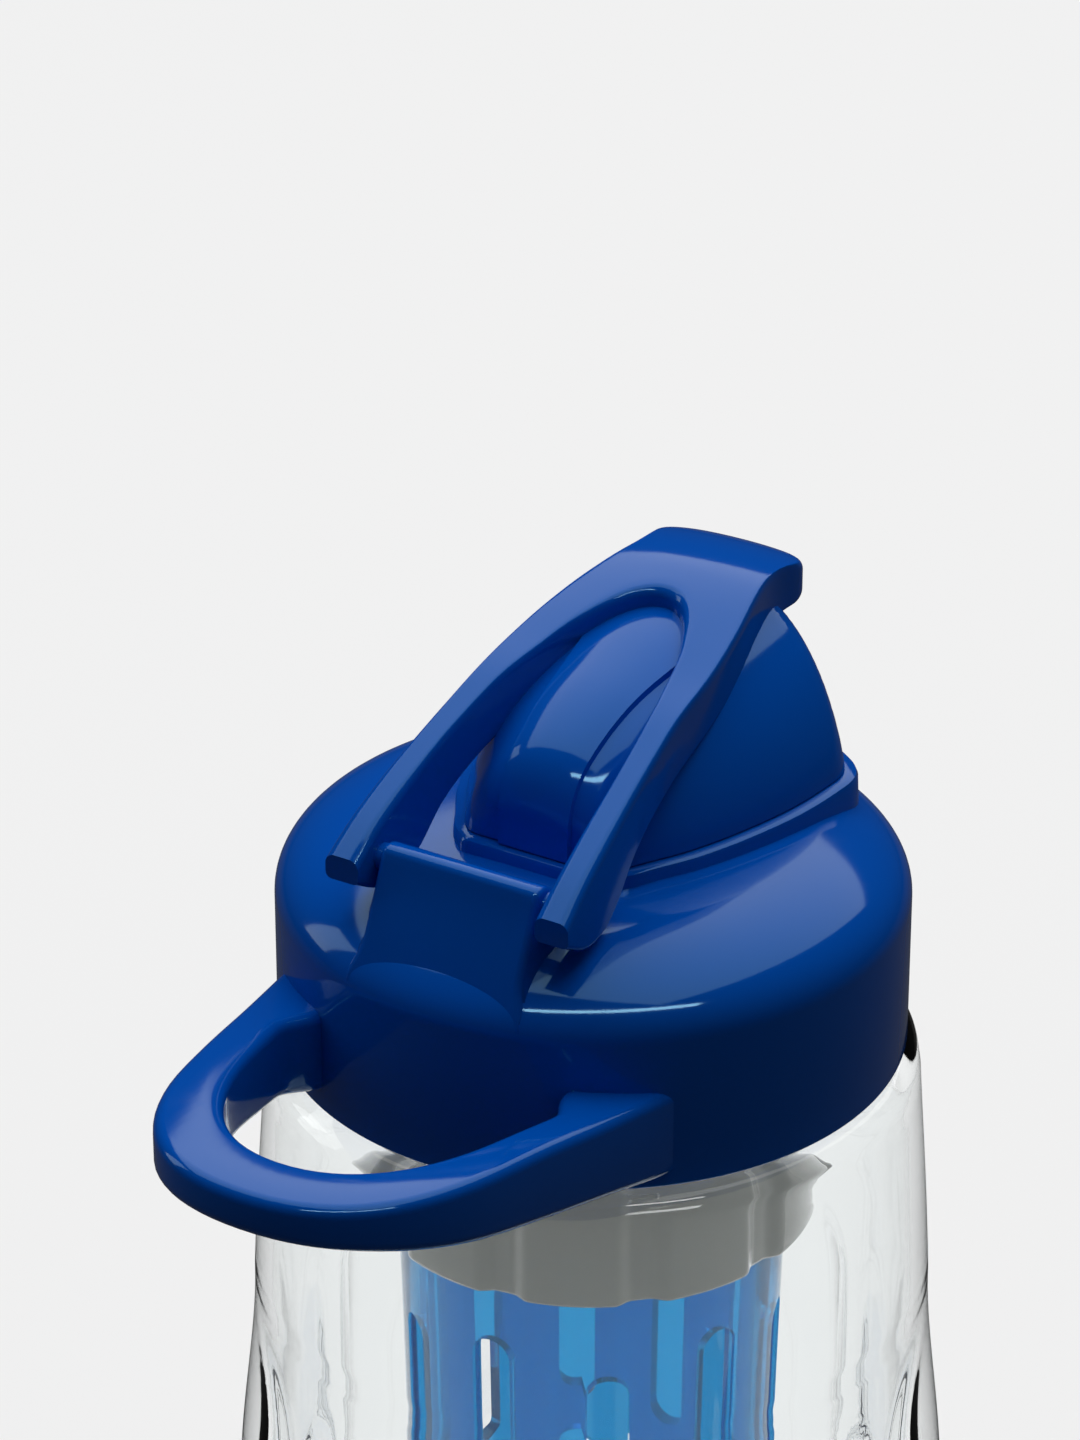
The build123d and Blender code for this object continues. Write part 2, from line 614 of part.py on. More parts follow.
def spout_cover():
    """Flip cover moulding: hollow hood, lever, hinge legs and the post for its seal."""
    cover = cover_dome() + cover_lever() - hood_form(COVER_WALL)
    post = Pos(0, SPOUT_Y, 0) * disc(SEAL_POST_R, SEAL_TOP_Z, COVER_TOP_Z)
    socket = disc(SEAL_STEM_R, SEAL_TOP_Z - 1, SEAL_TOP_Z + SEAL_STEM)
    cover += post & hood_form(BAND_RISE)
    return cover - Pos(0, SPOUT_Y, 0) * socket


def cover_seal():
    """Soft stopper on the cover's post, with a plug that closes the mouthpiece."""
    seal = disc(SEAL_R, SEAL_FOOT_Z, SEAL_TOP_Z)
    seal += disc(SEAL_PLUG_R, SEAL_FOOT_Z - SEAL_PLUG_DEPTH, SEAL_FOOT_Z)
    seal += disc(SEAL_STEM_R, SEAL_TOP_Z, SEAL_TOP_Z + SEAL_STEM)
    return Pos(0, SPOUT_Y, 0) * seal


# ------------------------------------------------------------------ mouthpiece and valve
def mouthpiece():
    """Soft drinking nozzle, held by its flange under the lid's roof."""
    flange_z = ROOF_Z - SPOUT_FLANGE
    flange_r = SLEEVE_BORE_R - SPOUT_FLANGE_GAP
    base_pull, waist_low, waist_high = SPOUT_WAIST_PULL
    tip_low, tip_high = SPOUT_LIP_PULL
    nozzle = Bezier(
        (SPOUT_BASE_R, CROWN_Z + SPOUT_COLLAR),
        (SPOUT_BASE_R - SPOUT_SWELL, CROWN_Z + base_pull),
        (SPOUT_WAIST_R, CROWN_Z + waist_low),
        (SPOUT_WAIST_R, CROWN_Z + waist_high),
        (SPOUT_TIP_R + SPOUT_SWELL, SPOUT_TOP_Z - tip_low),
        (SPOUT_TIP_R, SPOUT_TOP_Z - tip_high),
        (SPOUT_BORE_R + SPOUT_LIP, SPOUT_TOP_Z),
    )
    outline = (
        Polyline(
            (SPOUT_BORE_R, SPOUT_TOP_Z),
            (SPOUT_BORE_R, flange_z),
            (flange_r, flange_z),
            (flange_r, ROOF_Z),
            (SPOUT_NECK_R, ROOF_Z),
            (SPOUT_NECK_R, CROWN_Z),
            (SPOUT_BASE_R, CROWN_Z),
            (SPOUT_BASE_R, CROWN_Z + SPOUT_COLLAR),
        )
        + nozzle
        + Line(nozzle @ 1, (SPOUT_BORE_R, SPOUT_TOP_Z))
    )
    return Pos(0, SPOUT_Y, 0) * turned(outline)


def mouthpiece_clip():
    """Hard ring pressed into the sleeve under the mouthpiece's flange."""
    top_z = ROOF_Z - SPOUT_FLANGE
    clip = tube(SLEEVE_BORE_R, CLIP_BORE_R, top_z - CLIP_HEIGHT, top_z)
    return Pos(0, SPOUT_Y, 0) * clip


def vent_valve():
    """Umbrella valve that lets air in: thin head, stem through the roof and a bulb below."""
    stem_r = VENT_HOLE_R - VENT_STEM_GAP
    bulb_top_z = ROOF_Z - VENT_BULB_GAP
    valve = disc(VENT_HEAD_R, CROWN_Z, CROWN_Z + VENT_HEAD)
    valve += disc(stem_r, bulb_top_z - VENT_OVERLAP, CROWN_Z)
    bulb = Cone(stem_r * VENT_BULB_SHARE, VENT_BULB_R, VENT_BULB)
    valve += Pos(0, 0, bulb_top_z - VENT_BULB / 2) * bulb
    return Pos(0, VENT_Y, 0) * valve


def lid_gasket():
    """Flat ring between the bottle's rim and the lid."""
    outer_r = SKIRT_BORE_R - GASKET_GAP
    inner_r = SEAT_INNER_R + GASKET_GAP
    return tube(outer_r, inner_r, GASKET_SEAT_Z - GASKET_THICKNESS, GASKET_SEAT_Z)


# ------------------------------------------------------------------ infuser
def infuser_gasket():
    """Flat ring between the infuser's screen and the end of the lid's boss."""
    outer_r = BOSS_R - INFUSER_GASKET_GAP
    return tube(outer_r, BOSS_R - BOSS_WALL, SCREEN_TOP_Z, BOSS_END_Z)


def infuser_ring():
    """Lobed coupling nut that screws the basket up under the lid."""
    lobe = Pos(RING_R / 2, 0) * Rectangle(RING_R, RING_LOBE_WIDTH)
    lobe = fillet(lobe.vertices().group_by(Axis.X)[-1], RING_LOBE_ROUND)
    step = 360 / RING_LOBES
    lobes = [Rot(0, 0, RING_TURN + step * index) * lobe for index in range(RING_LOBES)]
    plan = (Circle(RING_VALLEY_R) + lobes) & Circle(RING_R)
    collar_z = RING_TOP_Z - RING_COLLAR
    grip = Pos(0, 0, RING_FOOT_Z) * extrude(plan, collar_z - RING_FOOT_Z)
    edge_r = RING_R - RING_CHAMFER
    limit = turned(
        Polyline(
            (0, RING_FOOT_Z),
            (edge_r, RING_FOOT_Z),
            (RING_R, RING_FOOT_Z + RING_CHAMFER),
            (RING_R, RING_TOP_Z - RING_CHAMFER),
            (edge_r, RING_TOP_Z),
            (0, RING_TOP_Z),
            (0, RING_FOOT_Z),
        )
    )
    ring = (grip + disc(RING_R, collar_z, RING_TOP_Z)) & limit
    ring -= disc(RING_BORE_R, LEDGE_TOP_Z, RING_TOP_Z + 1)
    return ring - disc(BASKET_R + BASKET_GAP, RING_FOOT_Z - 1, LEDGE_TOP_Z + 1)


def basket_slots():
    """Round-ended slots in columns round the basket, every other column set lower."""
    slot = SlotOverall(SLOT_LENGTH, SLOT_WIDTH, rotation=90)
    cutter = Pos(0, -SLOT_LENGTH / 2) * slot
    bar = extrude(Plane.XZ * cutter, 2 * BASKET_R)
    step = 360 / SLOT_COLUMNS
    slots = []
    for column in range(SLOT_COLUMNS):
        start_z = SLOT_FIRST_Z - SLOT_STAGGER * (column % 2)
        for row in range(SLOT_ROWS):
            place = Pos(0, 0, start_z - row * SLOT_ROW_PITCH)
            slots.append(place * Rot(0, 0, step * column) * bar)
    return slots


def infuser_basket():
    """Long translucent basket with a flange, slight draft, rounded foot and slots."""
    foot_z = BASKET_FOOT_Z
    corner = BASKET_CORNER
    inner_foot_r = BASKET_FOOT_R - BASKET_WALL
    inner_corner = corner - BASKET_WALL
    outer = RadiusArc(
        (BASKET_FOOT_R - corner, foot_z), (BASKET_FOOT_R, foot_z + corner), -corner
    )
    inner = RadiusArc(
        (inner_foot_r, foot_z + BASKET_WALL + inner_corner),
        (inner_foot_r - inner_corner, foot_z + BASKET_WALL),
        inner_corner,
    )
    outline = (
        Polyline(
            (0, foot_z + BASKET_WALL), (0, foot_z), (BASKET_FOOT_R - corner, foot_z)
        )
        + outer
        + Polyline(
            outer @ 1,
            (BASKET_R, LEDGE_TOP_Z),
            (FLANGE_R, LEDGE_TOP_Z),
            (FLANGE_R, FLANGE_TOP_Z),
            (BASKET_R - BASKET_WALL, FLANGE_TOP_Z),
            inner @ 0,
        )
        + inner
        + Line(inner @ 1, (0, foot_z + BASKET_WALL))
    )
    return turned(outline) - basket_slots()


def infuser_screen():
    """Perforated disc on the basket's flange, which keeps fruit out of the mouthpiece."""
    screen = disc(FLANGE_R, FLANGE_TOP_Z, SCREEN_TOP_Z)
    hole = Pos(0, 0, FLANGE_TOP_Z) * Cylinder(SCREEN_HOLE_R, 3 * SCREEN_THICKNESS)
    holes = [hole]
    for radius, count in SCREEN_RINGS:
        for index in range(count):
            holes.append(Rot(0, 0, 360 * index / count) * Pos(radius, 0, 0) * hole)
    return screen - holes


# ------------------------------------------------------------------ the whole bottle
def main():
    """Build every piece and write one STEP file for each."""
    os.makedirs("parts", exist_ok=True)
    lid_pieces = {
        "lid_shell": lid_shell(),
        "lid_gasket": lid_gasket(),
        "spout_cover": spout_cover(),
        "cover_seal": cover_seal(),
        "mouthpiece": mouthpiece(),
        "mouthpiece_clip": mouthpiece_clip(),
        "vent_valve": vent_valve(),
        "infuser_gasket": infuser_gasket(),
        "infuser_ring": infuser_ring(),
        "infuser_basket": infuser_basket(),
        "infuser_screen": infuser_screen(),
    }
    pieces = {name: Pos(0, 0, LID_Z) * piece for name, piece in lid_pieces.items()}
    pieces["bottle_body"] = bottle_body()
    for name, piece in pieces.items():
        export_step(piece, f"parts/{name}.step")


if __name__ == "__main__":
    main()
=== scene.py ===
"""Looks for a clear drinks bottle with a flip-cover lid and a hanging infuser.

Every piece is drawn in millimetres in the bottle's own frame, with +Z up along the
axis and the hinge and the carry loop on the -Y side, and is turned to metres when it
is finished. The pieces of the lid are drawn from the lower rim of its skirt.
"""

from __future__ import annotations

import logging
import math
from dataclasses import dataclass, field
from enum import Enum
from typing import Callable, Iterable, Sequence

import bmesh
import bpy
from bmesh.types import BMesh
from mathutils import Matrix, Vector
from mathutils.geometry import interpolate_bezier

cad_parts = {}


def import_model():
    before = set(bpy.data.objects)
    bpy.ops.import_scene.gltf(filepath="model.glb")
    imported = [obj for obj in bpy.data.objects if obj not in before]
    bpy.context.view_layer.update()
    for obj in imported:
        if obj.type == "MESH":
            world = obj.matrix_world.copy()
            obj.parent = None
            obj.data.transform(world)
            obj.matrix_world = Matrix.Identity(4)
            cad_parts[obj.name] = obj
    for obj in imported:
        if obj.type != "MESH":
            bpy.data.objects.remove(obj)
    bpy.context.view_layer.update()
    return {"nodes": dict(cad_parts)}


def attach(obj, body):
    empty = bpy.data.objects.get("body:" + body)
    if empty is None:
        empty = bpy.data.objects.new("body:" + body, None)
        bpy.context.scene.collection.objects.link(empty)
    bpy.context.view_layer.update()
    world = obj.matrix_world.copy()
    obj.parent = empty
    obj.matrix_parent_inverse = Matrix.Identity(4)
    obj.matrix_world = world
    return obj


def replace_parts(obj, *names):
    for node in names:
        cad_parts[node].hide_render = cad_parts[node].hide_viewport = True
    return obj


LOG = logging.getLogger("sports_bottle")
MM = 0.001
CREASE = 38.0
LID_Z = 188.0
HINGE_Y = -24.9
HINGE_Z = 29.4
SPOUT_Y = 6.0
NECK_THREAD = {"pitch": 4.2, "turns": 1.9, "width": 1.8}
NECK_THREAD_DEPTH = 0.75
BOSS_THREAD = {"pitch": 7.2, "turns": 0.6, "width": 1.6}
BOSS_THREAD_DEPTH = 0.42
UP = Vector((0, 0, 1))
Point = tuple[float, float]


class Body(Enum):
    """Bodies of the mechanism that pieces ride on."""

    BOTTLE = "bottle"
    LID_SEAL = "lid_seal"
    LID = "lid"
    COVER = "cover"
    INFUSER_SEAL = "infuser_seal"
    INFUSER = "infuser"


class Slot(Enum):
    """Material slots of the part's record."""

    CLEAR = "clear_plastic"
    BLUE = "blue_plastic"
    TINTED = "tinted_plastic"
    GREY = "grey_plastic"
    WHITE = "white_plastic"
    SOFT = "soft_clear"


class Side(Enum):
    """The two sides of the bottle's middle plane."""

    LEFT = -1
    RIGHT = 1


# ---------------------------------------------------------------- materials
def linear(hex_colour: str) -> tuple[float, float, float, float]:
    """Turn an sRGB hex colour into linear values.

    Args:
        hex_colour: Six hex digits with a leading hash.

    Returns:
        Linear red, green, blue and an alpha of one.
    """
    channels = [int(hex_colour[i : i + 2], 16) / 255 for i in (1, 3, 5)]
    values = [c / 12.92 if c <= 0.04045 else ((c + 0.055) / 1.055) ** 2.4 for c in channels]
    return (values[0], values[1], values[2], 1.0)


def add_node(
    tree: bpy.types.NodeTree, kind: str, inputs: dict | None = None, **settings: object
) -> bpy.types.Node:
    """Add one node, set it up and link it.

    Args:
        tree: Tree that the node goes into.
        kind: Node type name.
        inputs: Socket name or index to a constant, or to a socket to link from.
        **settings: Attributes of the node itself.

    Returns:
        The new node.
    """
    node = tree.nodes.new(kind)
    for name, value in settings.items():
        setattr(node, name, value)
    for name, value in (inputs or {}).items():
        socket = node.inputs[name]
        if isinstance(value, bpy.types.NodeSocket):
            tree.links.new(value, socket)
        else:
            socket.default_value = value
    return node


def blank_tree(owner: bpy.types.Material | bpy.types.World) -> bpy.types.NodeTree:
    """Give a material or a world an empty node tree."""
    owner.use_nodes = True
    owner.node_tree.nodes.clear()
    return owner.node_tree


@dataclass(frozen=True)
class Finish:
    """A moulded plastic: its colour, gloss and the fine unevenness of its surface.

    Attributes:
        name: Common name of the plastic and how it was made.
        colour: sRGB hex colour.
        roughness: Roughness of the clean surface.
        ior: Index of refraction.
        transmission: Share of the light that goes through.
        coat: Weight of the clear gloss of a polished mould.
        sheen_colour: sRGB hex colour that its reflections take on.
        ripple_mm: Spacing of the slow unevenness left by shrinkage.
        ripple_depth: Strength of that unevenness.
        stretch: How much the unevenness is drawn out along the axis.
        scuff: How far roughness rises in faint handling marks.
        subsurface: Weight of light scattered under a milky surface.
    """

    name: str
    colour: str
    roughness: float
    ior: float
    transmission: float = 0.0
    coat: float = 0.0
    sheen_colour: str = "#FFFFFF"
    ripple_mm: float = 14.0
    ripple_depth: float = 0.02
    stretch: float = 1.0
    scuff: float = 0.05
    subsurface: float = 0.0

    def material(self) -> bpy.types.Material:
        """Return the node material, made once.

        Returns:
            The material of this finish.
        """
        made = bpy.data.materials.get(self.name)
        if made:
            return made
        made = bpy.data.materials.new(self.name)
        tree = blank_tree(made)
        place = add_node(tree, "ShaderNodeTexCoord").outputs["Object"]
        drawn = add_node(
            tree,
            "ShaderNodeMapping",
            {"Vector": place, "Scale": (1.0, 1.0, 1.0 / self.stretch)},
        )
        ripple = add_node(
            tree,
            "ShaderNodeTexNoise",
            {"Vector": drawn.outputs[0], "Scale": 1000 / self.ripple_mm, "Detail": 1.0},
        )
        bump = add_node(
            tree,
            "ShaderNodeBump",
            {"Height": ripple.outputs[0], "Strength": self.ripple_depth, "Distance": MM},
        )
        marks = add_node(
            tree,
            "ShaderNodeTexNoise",
            {"Vector": place, "Scale": 1000 / 9.0, "Detail": 6.0, "Distortion": 1.5},
        )
        gloss = add_node(
            tree,
            "ShaderNodeMapRange",
            {
                "Value": marks.outputs[0],
                "From Min": 0.55,
                "From Max": 0.8,
                "To Min": self.roughness,
                "To Max": self.roughness + self.scuff,
            },
        )
        shader = add_node(
            tree,
            "ShaderNodeBsdfPrincipled",
            {
                "Base Color": self.tint(tree, place),
                "Roughness": gloss.outputs[0],
                "IOR": self.ior,
                "Transmission Weight": self.transmission,
                "Coat Weight": self.coat,
                "Coat Roughness": 0.03,
                "Specular Tint": linear(self.sheen_colour),
                "Subsurface Weight": self.subsurface,
                "Subsurface Scale": 2 * MM,
                "Normal": bump.outputs[0],
            },
        )
        add_node(tree, "ShaderNodeOutputMaterial", {"Surface": shader.outputs[0]})
        return made

    def tint(
        self, tree: bpy.types.NodeTree, place: bpy.types.NodeSocket
    ) -> bpy.types.NodeSocket:
        """Vary the colour a little, as pigment does where a moulding flowed.

        Args:
            tree: Tree of the material.
            place: Object coordinates.

        Returns:
            Colour output.
        """
        flow = add_node(
            tree,
            "ShaderNodeTexNoise",
            {"Vector": place, "Scale": 1000 / 40.0, "Detail": 2.0},
        )
        base = linear(self.colour)
        deeper = tuple(0.93 * c for c in base[:3]) + (1.0,)
        mixed = add_node(
            tree, "ShaderNodeMix", {0: flow.outputs[0], 6: base, 7: deeper}, data_type="RGBA"
        )
        return mixed.outputs[2]


# Polished polypropylene: saturated pigment, sharp reflections, slight sink marks.
BLUE_LID = Finish(
    "moulded_blue_polypropylene", "#0059C6", 0.08, 1.49, sheen_colour="#A6E6FF"
)
# Clear copolyester, stretch-blown: water clear with long soft draw lines down its wall.
CLEAR_BODY = Finish(
    "blown_clear_copolyester",
    "#FAFCFC",
    0.0,
    1.45,
    transmission=1.0,
    ripple_mm=22.0,
    ripple_depth=0.012,
    stretch=4.0,
    scuff=0.0,
)
# Tinted clear copolyester: deep where one looks along the wall, cyan where light comes through.
TINTED_BASKET = Finish(
    "moulded_blue_tinted_copolyester",
    "#0C9CDC",
    0.03,
    1.45,
    transmission=0.86,
    sheen_colour="#BFEFFF",
    ripple_depth=0.03,
    stretch=4.0,
)
# Smoked clear plastic: grey and nearly opaque at this thickness, with a polished skin.
GREY_RING = Finish(
    "moulded_smoked_copolyester",
    "#6A6D68",
    0.06,
    1.5,
    transmission=0.25,
    coat=0.8,
)
# Natural polypropylene: off-white and slightly waxy.
WHITE_CLIP = Finish("moulded_natural_polypropylene", "#E8E9E6", 0.35, 1.49, subsurface=0.2)
# Silicone: milky and soft, dull next to the lid.
SILICONE = Finish("moulded_clear_silicone", "#DCE0E0", 0.42, 1.41, subsurface=0.5, scuff=0.15)

NODE_FINISHES: dict[str, tuple[Finish, Slot]] = {
    "lid_gasket": (SILICONE, Slot.SOFT),
    "infuser_gasket": (SILICONE, Slot.SOFT),
    "cover_seal": (SILICONE, Slot.SOFT),
    "vent_valve": (SILICONE, Slot.SOFT),
    "mouthpiece_clip": (WHITE_CLIP, Slot.WHITE),
    "infuser_screen": (GREY_RING, Slot.GREY),
}


# ---------------------------------------------------------------- mesh helpers
def add_object(name: str, data: bpy.types.ID) -> bpy.types.Object:
    """Put a mesh, lamp or camera into the scene."""
    made = bpy.data.objects.new(name, data)
    bpy.context.scene.collection.objects.link(made)
    return made


def finish_piece(
    name: str,
    bm: BMesh,
    finish: Finish,
    body: Body,
    crease: float = CREASE,
) -> bpy.types.Object:
    """Turn a mesh drawn in millimetres into a dressed object that rides on a body.

    Args:
        name: Name of the piece.
        bm: Mesh in millimetres, freed here.
        finish: What it is made of.
        body: Body that carries it.
        crease: Angle in degrees over which an edge stays sharp.

    Returns:
        The object, at the origin.
    """
    bmesh.ops.remove_doubles(bm, verts=bm.verts, dist=1e-4)
    lift = 0.0 if body is Body.BOTTLE else LID_Z
    bmesh.ops.translate(bm, vec=UP * lift, verts=bm.verts)
    bmesh.ops.scale(bm, vec=(MM, MM, MM), verts=bm.verts)
    bmesh.ops.recalc_face_normals(bm, faces=bm.faces)
    mesh = bpy.data.meshes.new(name)
    bm.to_mesh(mesh)
    bm.free()
    mesh.shade_smooth()
    mesh.set_sharp_from_angle(angle=math.radians(crease))
    mesh.materials.append(finish.material())
    piece = add_object(name, mesh)
    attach(piece, body.value)
    LOG.info("%s: %d faces", name, len(mesh.polygons))
    return piece


def blue_piece(name: str, bm: BMesh, body: Body, crease: float = CREASE) -> bpy.types.Object:
    """Finish a piece of the blue lid or of its cover."""
    return finish_piece(name, bm, BLUE_LID, body, crease)


def round_over(
    bm: BMesh, geom: Sequence, offset: float, segments: int, kind: str = "EDGES", clamp: bool = False
) -> dict:
    """Round edges or corners over.

    Args:
        bm: Mesh that they are in.
        geom: The edges or vertices.
        offset: How far the rounding reaches.
        segments: Faces over it.
        kind: EDGES or VERTICES.
        clamp: Whether roundings stop where they would meet.

    Returns:
        What the operator made.
    """
    return bmesh.ops.bevel(
        bm,
        geom=geom,
        offset=offset,
        affect=kind,
        segments=segments,
        profile=0.5,
        material=-1,
        clamp_overlap=clamp,
    )


def bridge_rows(bm: BMesh, rows: list[list], closed: bool = False) -> None:
    """Bridge each row of vertices with the next, and the last with the first.

    Args:
        bm: Mesh that they are in.
        rows: Vertices joined by edges, row by row.
        closed: Whether each row is a loop.
    """
    for pair_of_rows in zip(rows, rows[1:] + rows[:1]):
        edges = []
        for row in pair_of_rows:
            pairs = zip(row[-1:] + row, row) if closed else zip(row, row[1:])
            edges += [bm.edges.get(pair) for pair in pairs]
        bmesh.ops.bridge_loops(bm, edges=edges)


def move_out(vert: bmesh.types.BMVert, distance: float) -> None:
    """Move a vertex away from the axis."""
    radius = math.hypot(vert.co.x, vert.co.y)
    vert.co.x *= (radius + distance) / radius
    vert.co.y *= (radius + distance) / radius


def wire(bm: BMesh, points: Iterable[Sequence[float]], closed: bool = False) -> list:
    """Join points with edges.

    Args:
        bm: Mesh that gets them.
        points: Three coordinates each.
        closed: Whether the last point joins the first.

    Returns:
        The new vertices, in order.
    """
    verts = [bm.verts.new(point) for point in points]
    pairs = list(zip(verts, verts[1:]))
    if closed:
        pairs.append((verts[-1], verts[0]))
    for pair in pairs:
        bm.edges.new(pair)
    return verts


def spun(
    profile: Sequence[Sequence[float]],
    steps: int = 192,
    closed: bool = True,
    segments: int = 6,
    rows_mm: float = 0.0,
) -> BMesh:
    """Spin a profile round Z.

    Args:
        profile: Radius, height and, where a corner is rounded, its radius.
        steps: Faces round the axis.
        closed: Whether the profile closes on itself.
        segments: Faces over each rounded corner.
        rows_mm: Longest row of faces along the profile, or 0 for any length.

    Returns:
        The mesh.
    """
    bm = bmesh.new()
    verts = wire(bm, [(corner[0], 0.0, corner[1]) for corner in profile], closed)
    for vert, corner in zip(verts, profile):
        if len(corner) > 2:
            round_over(bm, [vert], corner[2], segments, kind="VERTICES")
    if rows_mm:
        for edge in list(bm.edges):
            cuts = int(edge.calc_length() / rows_mm)
            if cuts:
                bmesh.ops.subdivide_edges(bm, edges=[edge], cuts=cuts)
    bmesh.ops.spin(
        bm,
        geom=list(bm.verts) + list(bm.edges),
        cent=(0, 0, 0),
        axis=(0, 0, 1),
        angle=math.tau,
        steps=steps,
        use_merge=True,
    )
    bmesh.ops.remove_doubles(bm, verts=bm.verts, dist=1e-4)
    return bm


def arc(start: Point, out_start: Point, out_end: Point, end: Point, count: int) -> list[Point]:
    """Return points of a Bezier curve.

    Args:
        start: First point.
        out_start: Its handle.
        out_end: Handle of the last point.
        end: Last point.
        count: Number of points.

    Returns:
        The points as pairs.
    """
    corners = [Vector((p[0], p[1], 0)) for p in (start, out_start, out_end, end)]
    return [(p.x, p.y) for p in interpolate_bezier(*corners, count)]


def smooth_line(points: Sequence[Point], value: float) -> float:
    """Read a smooth curve through points at one place.

    Args:
        points: Pairs of place and height, in rising order of place.
        value: Place to read.

    Returns:
        Height there, with the end heights kept outside the range.
    """
    if value <= points[0][0]:
        return points[0][1]
    if value >= points[-1][0]:
        return points[-1][1]
    at = next(i for i in range(len(points) - 1) if value <= points[i + 1][0])
    (x0, y0), (x1, y1) = points[at], points[at + 1]
    before = points[at - 1] if at else (2 * x0 - x1, 2 * y0 - y1)
    after = points[at + 2] if at + 2 < len(points) else (2 * x1 - x0, 2 * y1 - y0)
    slope0 = (y1 - before[1]) / (x1 - before[0])
    slope1 = (after[1] - y0) / (after[0] - x0)
    t, width = (value - x0) / (x1 - x0), x1 - x0
    return (
        y0 * (1 + 2 * t) * (1 - t) ** 2
        + width * slope0 * t * (1 - t) ** 2
        + y1 * t * t * (3 - 2 * t)
        + width * slope1 * t * t * (t - 1)
    )


def step_up(value: float) -> float:
    """Rise smoothly from 0 to 1 as the value does."""
    t = min(1.0, max(0.0, value))
    return t * t * (3 - 2 * t)


def cut(piece: bpy.types.Object, cutters: Sequence[BMesh]) -> None:
    """Cut closed shapes out of a piece and keep its finish.

    Args:
        piece: Object in metres.
        cutters: Shapes in metres, freed here.
    """
    for number, shape in enumerate(cutters):
        mesh = bpy.data.meshes.new("cutter")
        bmesh.ops.recalc_face_normals(shape, faces=shape.faces)
        shape.to_mesh(mesh)
        shape.free()
        tool = add_object("cutter", mesh)
        modifier = piece.modifiers.new(f"cut_{number}", "BOOLEAN")
        modifier.operation = "DIFFERENCE"
        modifier.solver = "EXACT"
        modifier.object = tool
        depsgraph = bpy.context.evaluated_depsgraph_get()
        carved = bpy.data.meshes.new_from_object(piece.evaluated_get(depsgraph))
        piece.modifiers.clear()
        piece.data = carved
        bpy.data.objects.remove(tool)
    piece.data.shade_smooth()
    piece.data.set_sharp_from_angle(angle=math.radians(CREASE))


@dataclass
class ScrewThread:
    """One rounded ridge that climbs round an axis.

    Attributes:
        root_r: Radius that the ridge stands on.
        crest_r: Radius of its crest, smaller than root_r on a nut.
        start_z: Height of its first turn.
        pitch: Climb in one turn.
        turns: Number of turns.
        width: Width at the root.
    """

    root_r: float
    crest_r: float
    start_z: float
    pitch: float
    turns: float
    width: float
    steps_a_turn: int = 96

    def build(self) -> BMesh:
        """Wind the ridge and run its two ends out into the wall.

        Returns:
            The mesh.
        """
        bm = bmesh.new()
        sunk = self.root_r - math.copysign(0.15, self.crest_r - self.root_r)
        half, top = self.width / 2, self.width * 0.22
        section = [(sunk, -half), (sunk, half), (self.crest_r, top), (self.crest_r, -top)]
        verts = wire(bm, [(r, 0, self.start_z + z) for r, z in section], closed=True)
        face = bm.faces.new(verts)
        steps = int(self.turns * self.steps_a_turn)
        bmesh.ops.spin(
            bm,
            geom=[face, *face.edges, *face.verts],
            cent=(0, 0, 0),
            axis=(0, 0, 1),
            dvec=UP * (self.pitch / self.steps_a_turn),
            angle=math.tau * self.turns,
            steps=steps,
            use_merge=False,
        )
        run_out = self.pitch / 8
        for vert in bm.verts:
            radius = math.hypot(vert.co.x, vert.co.y)
            wound = vert.co.z - self.start_z
            left = min(wound + half, self.pitch * self.turns + half - wound)
            share = step_up(left / run_out)
            move_out(vert, (sunk - radius) * (1 - share))
        return bm


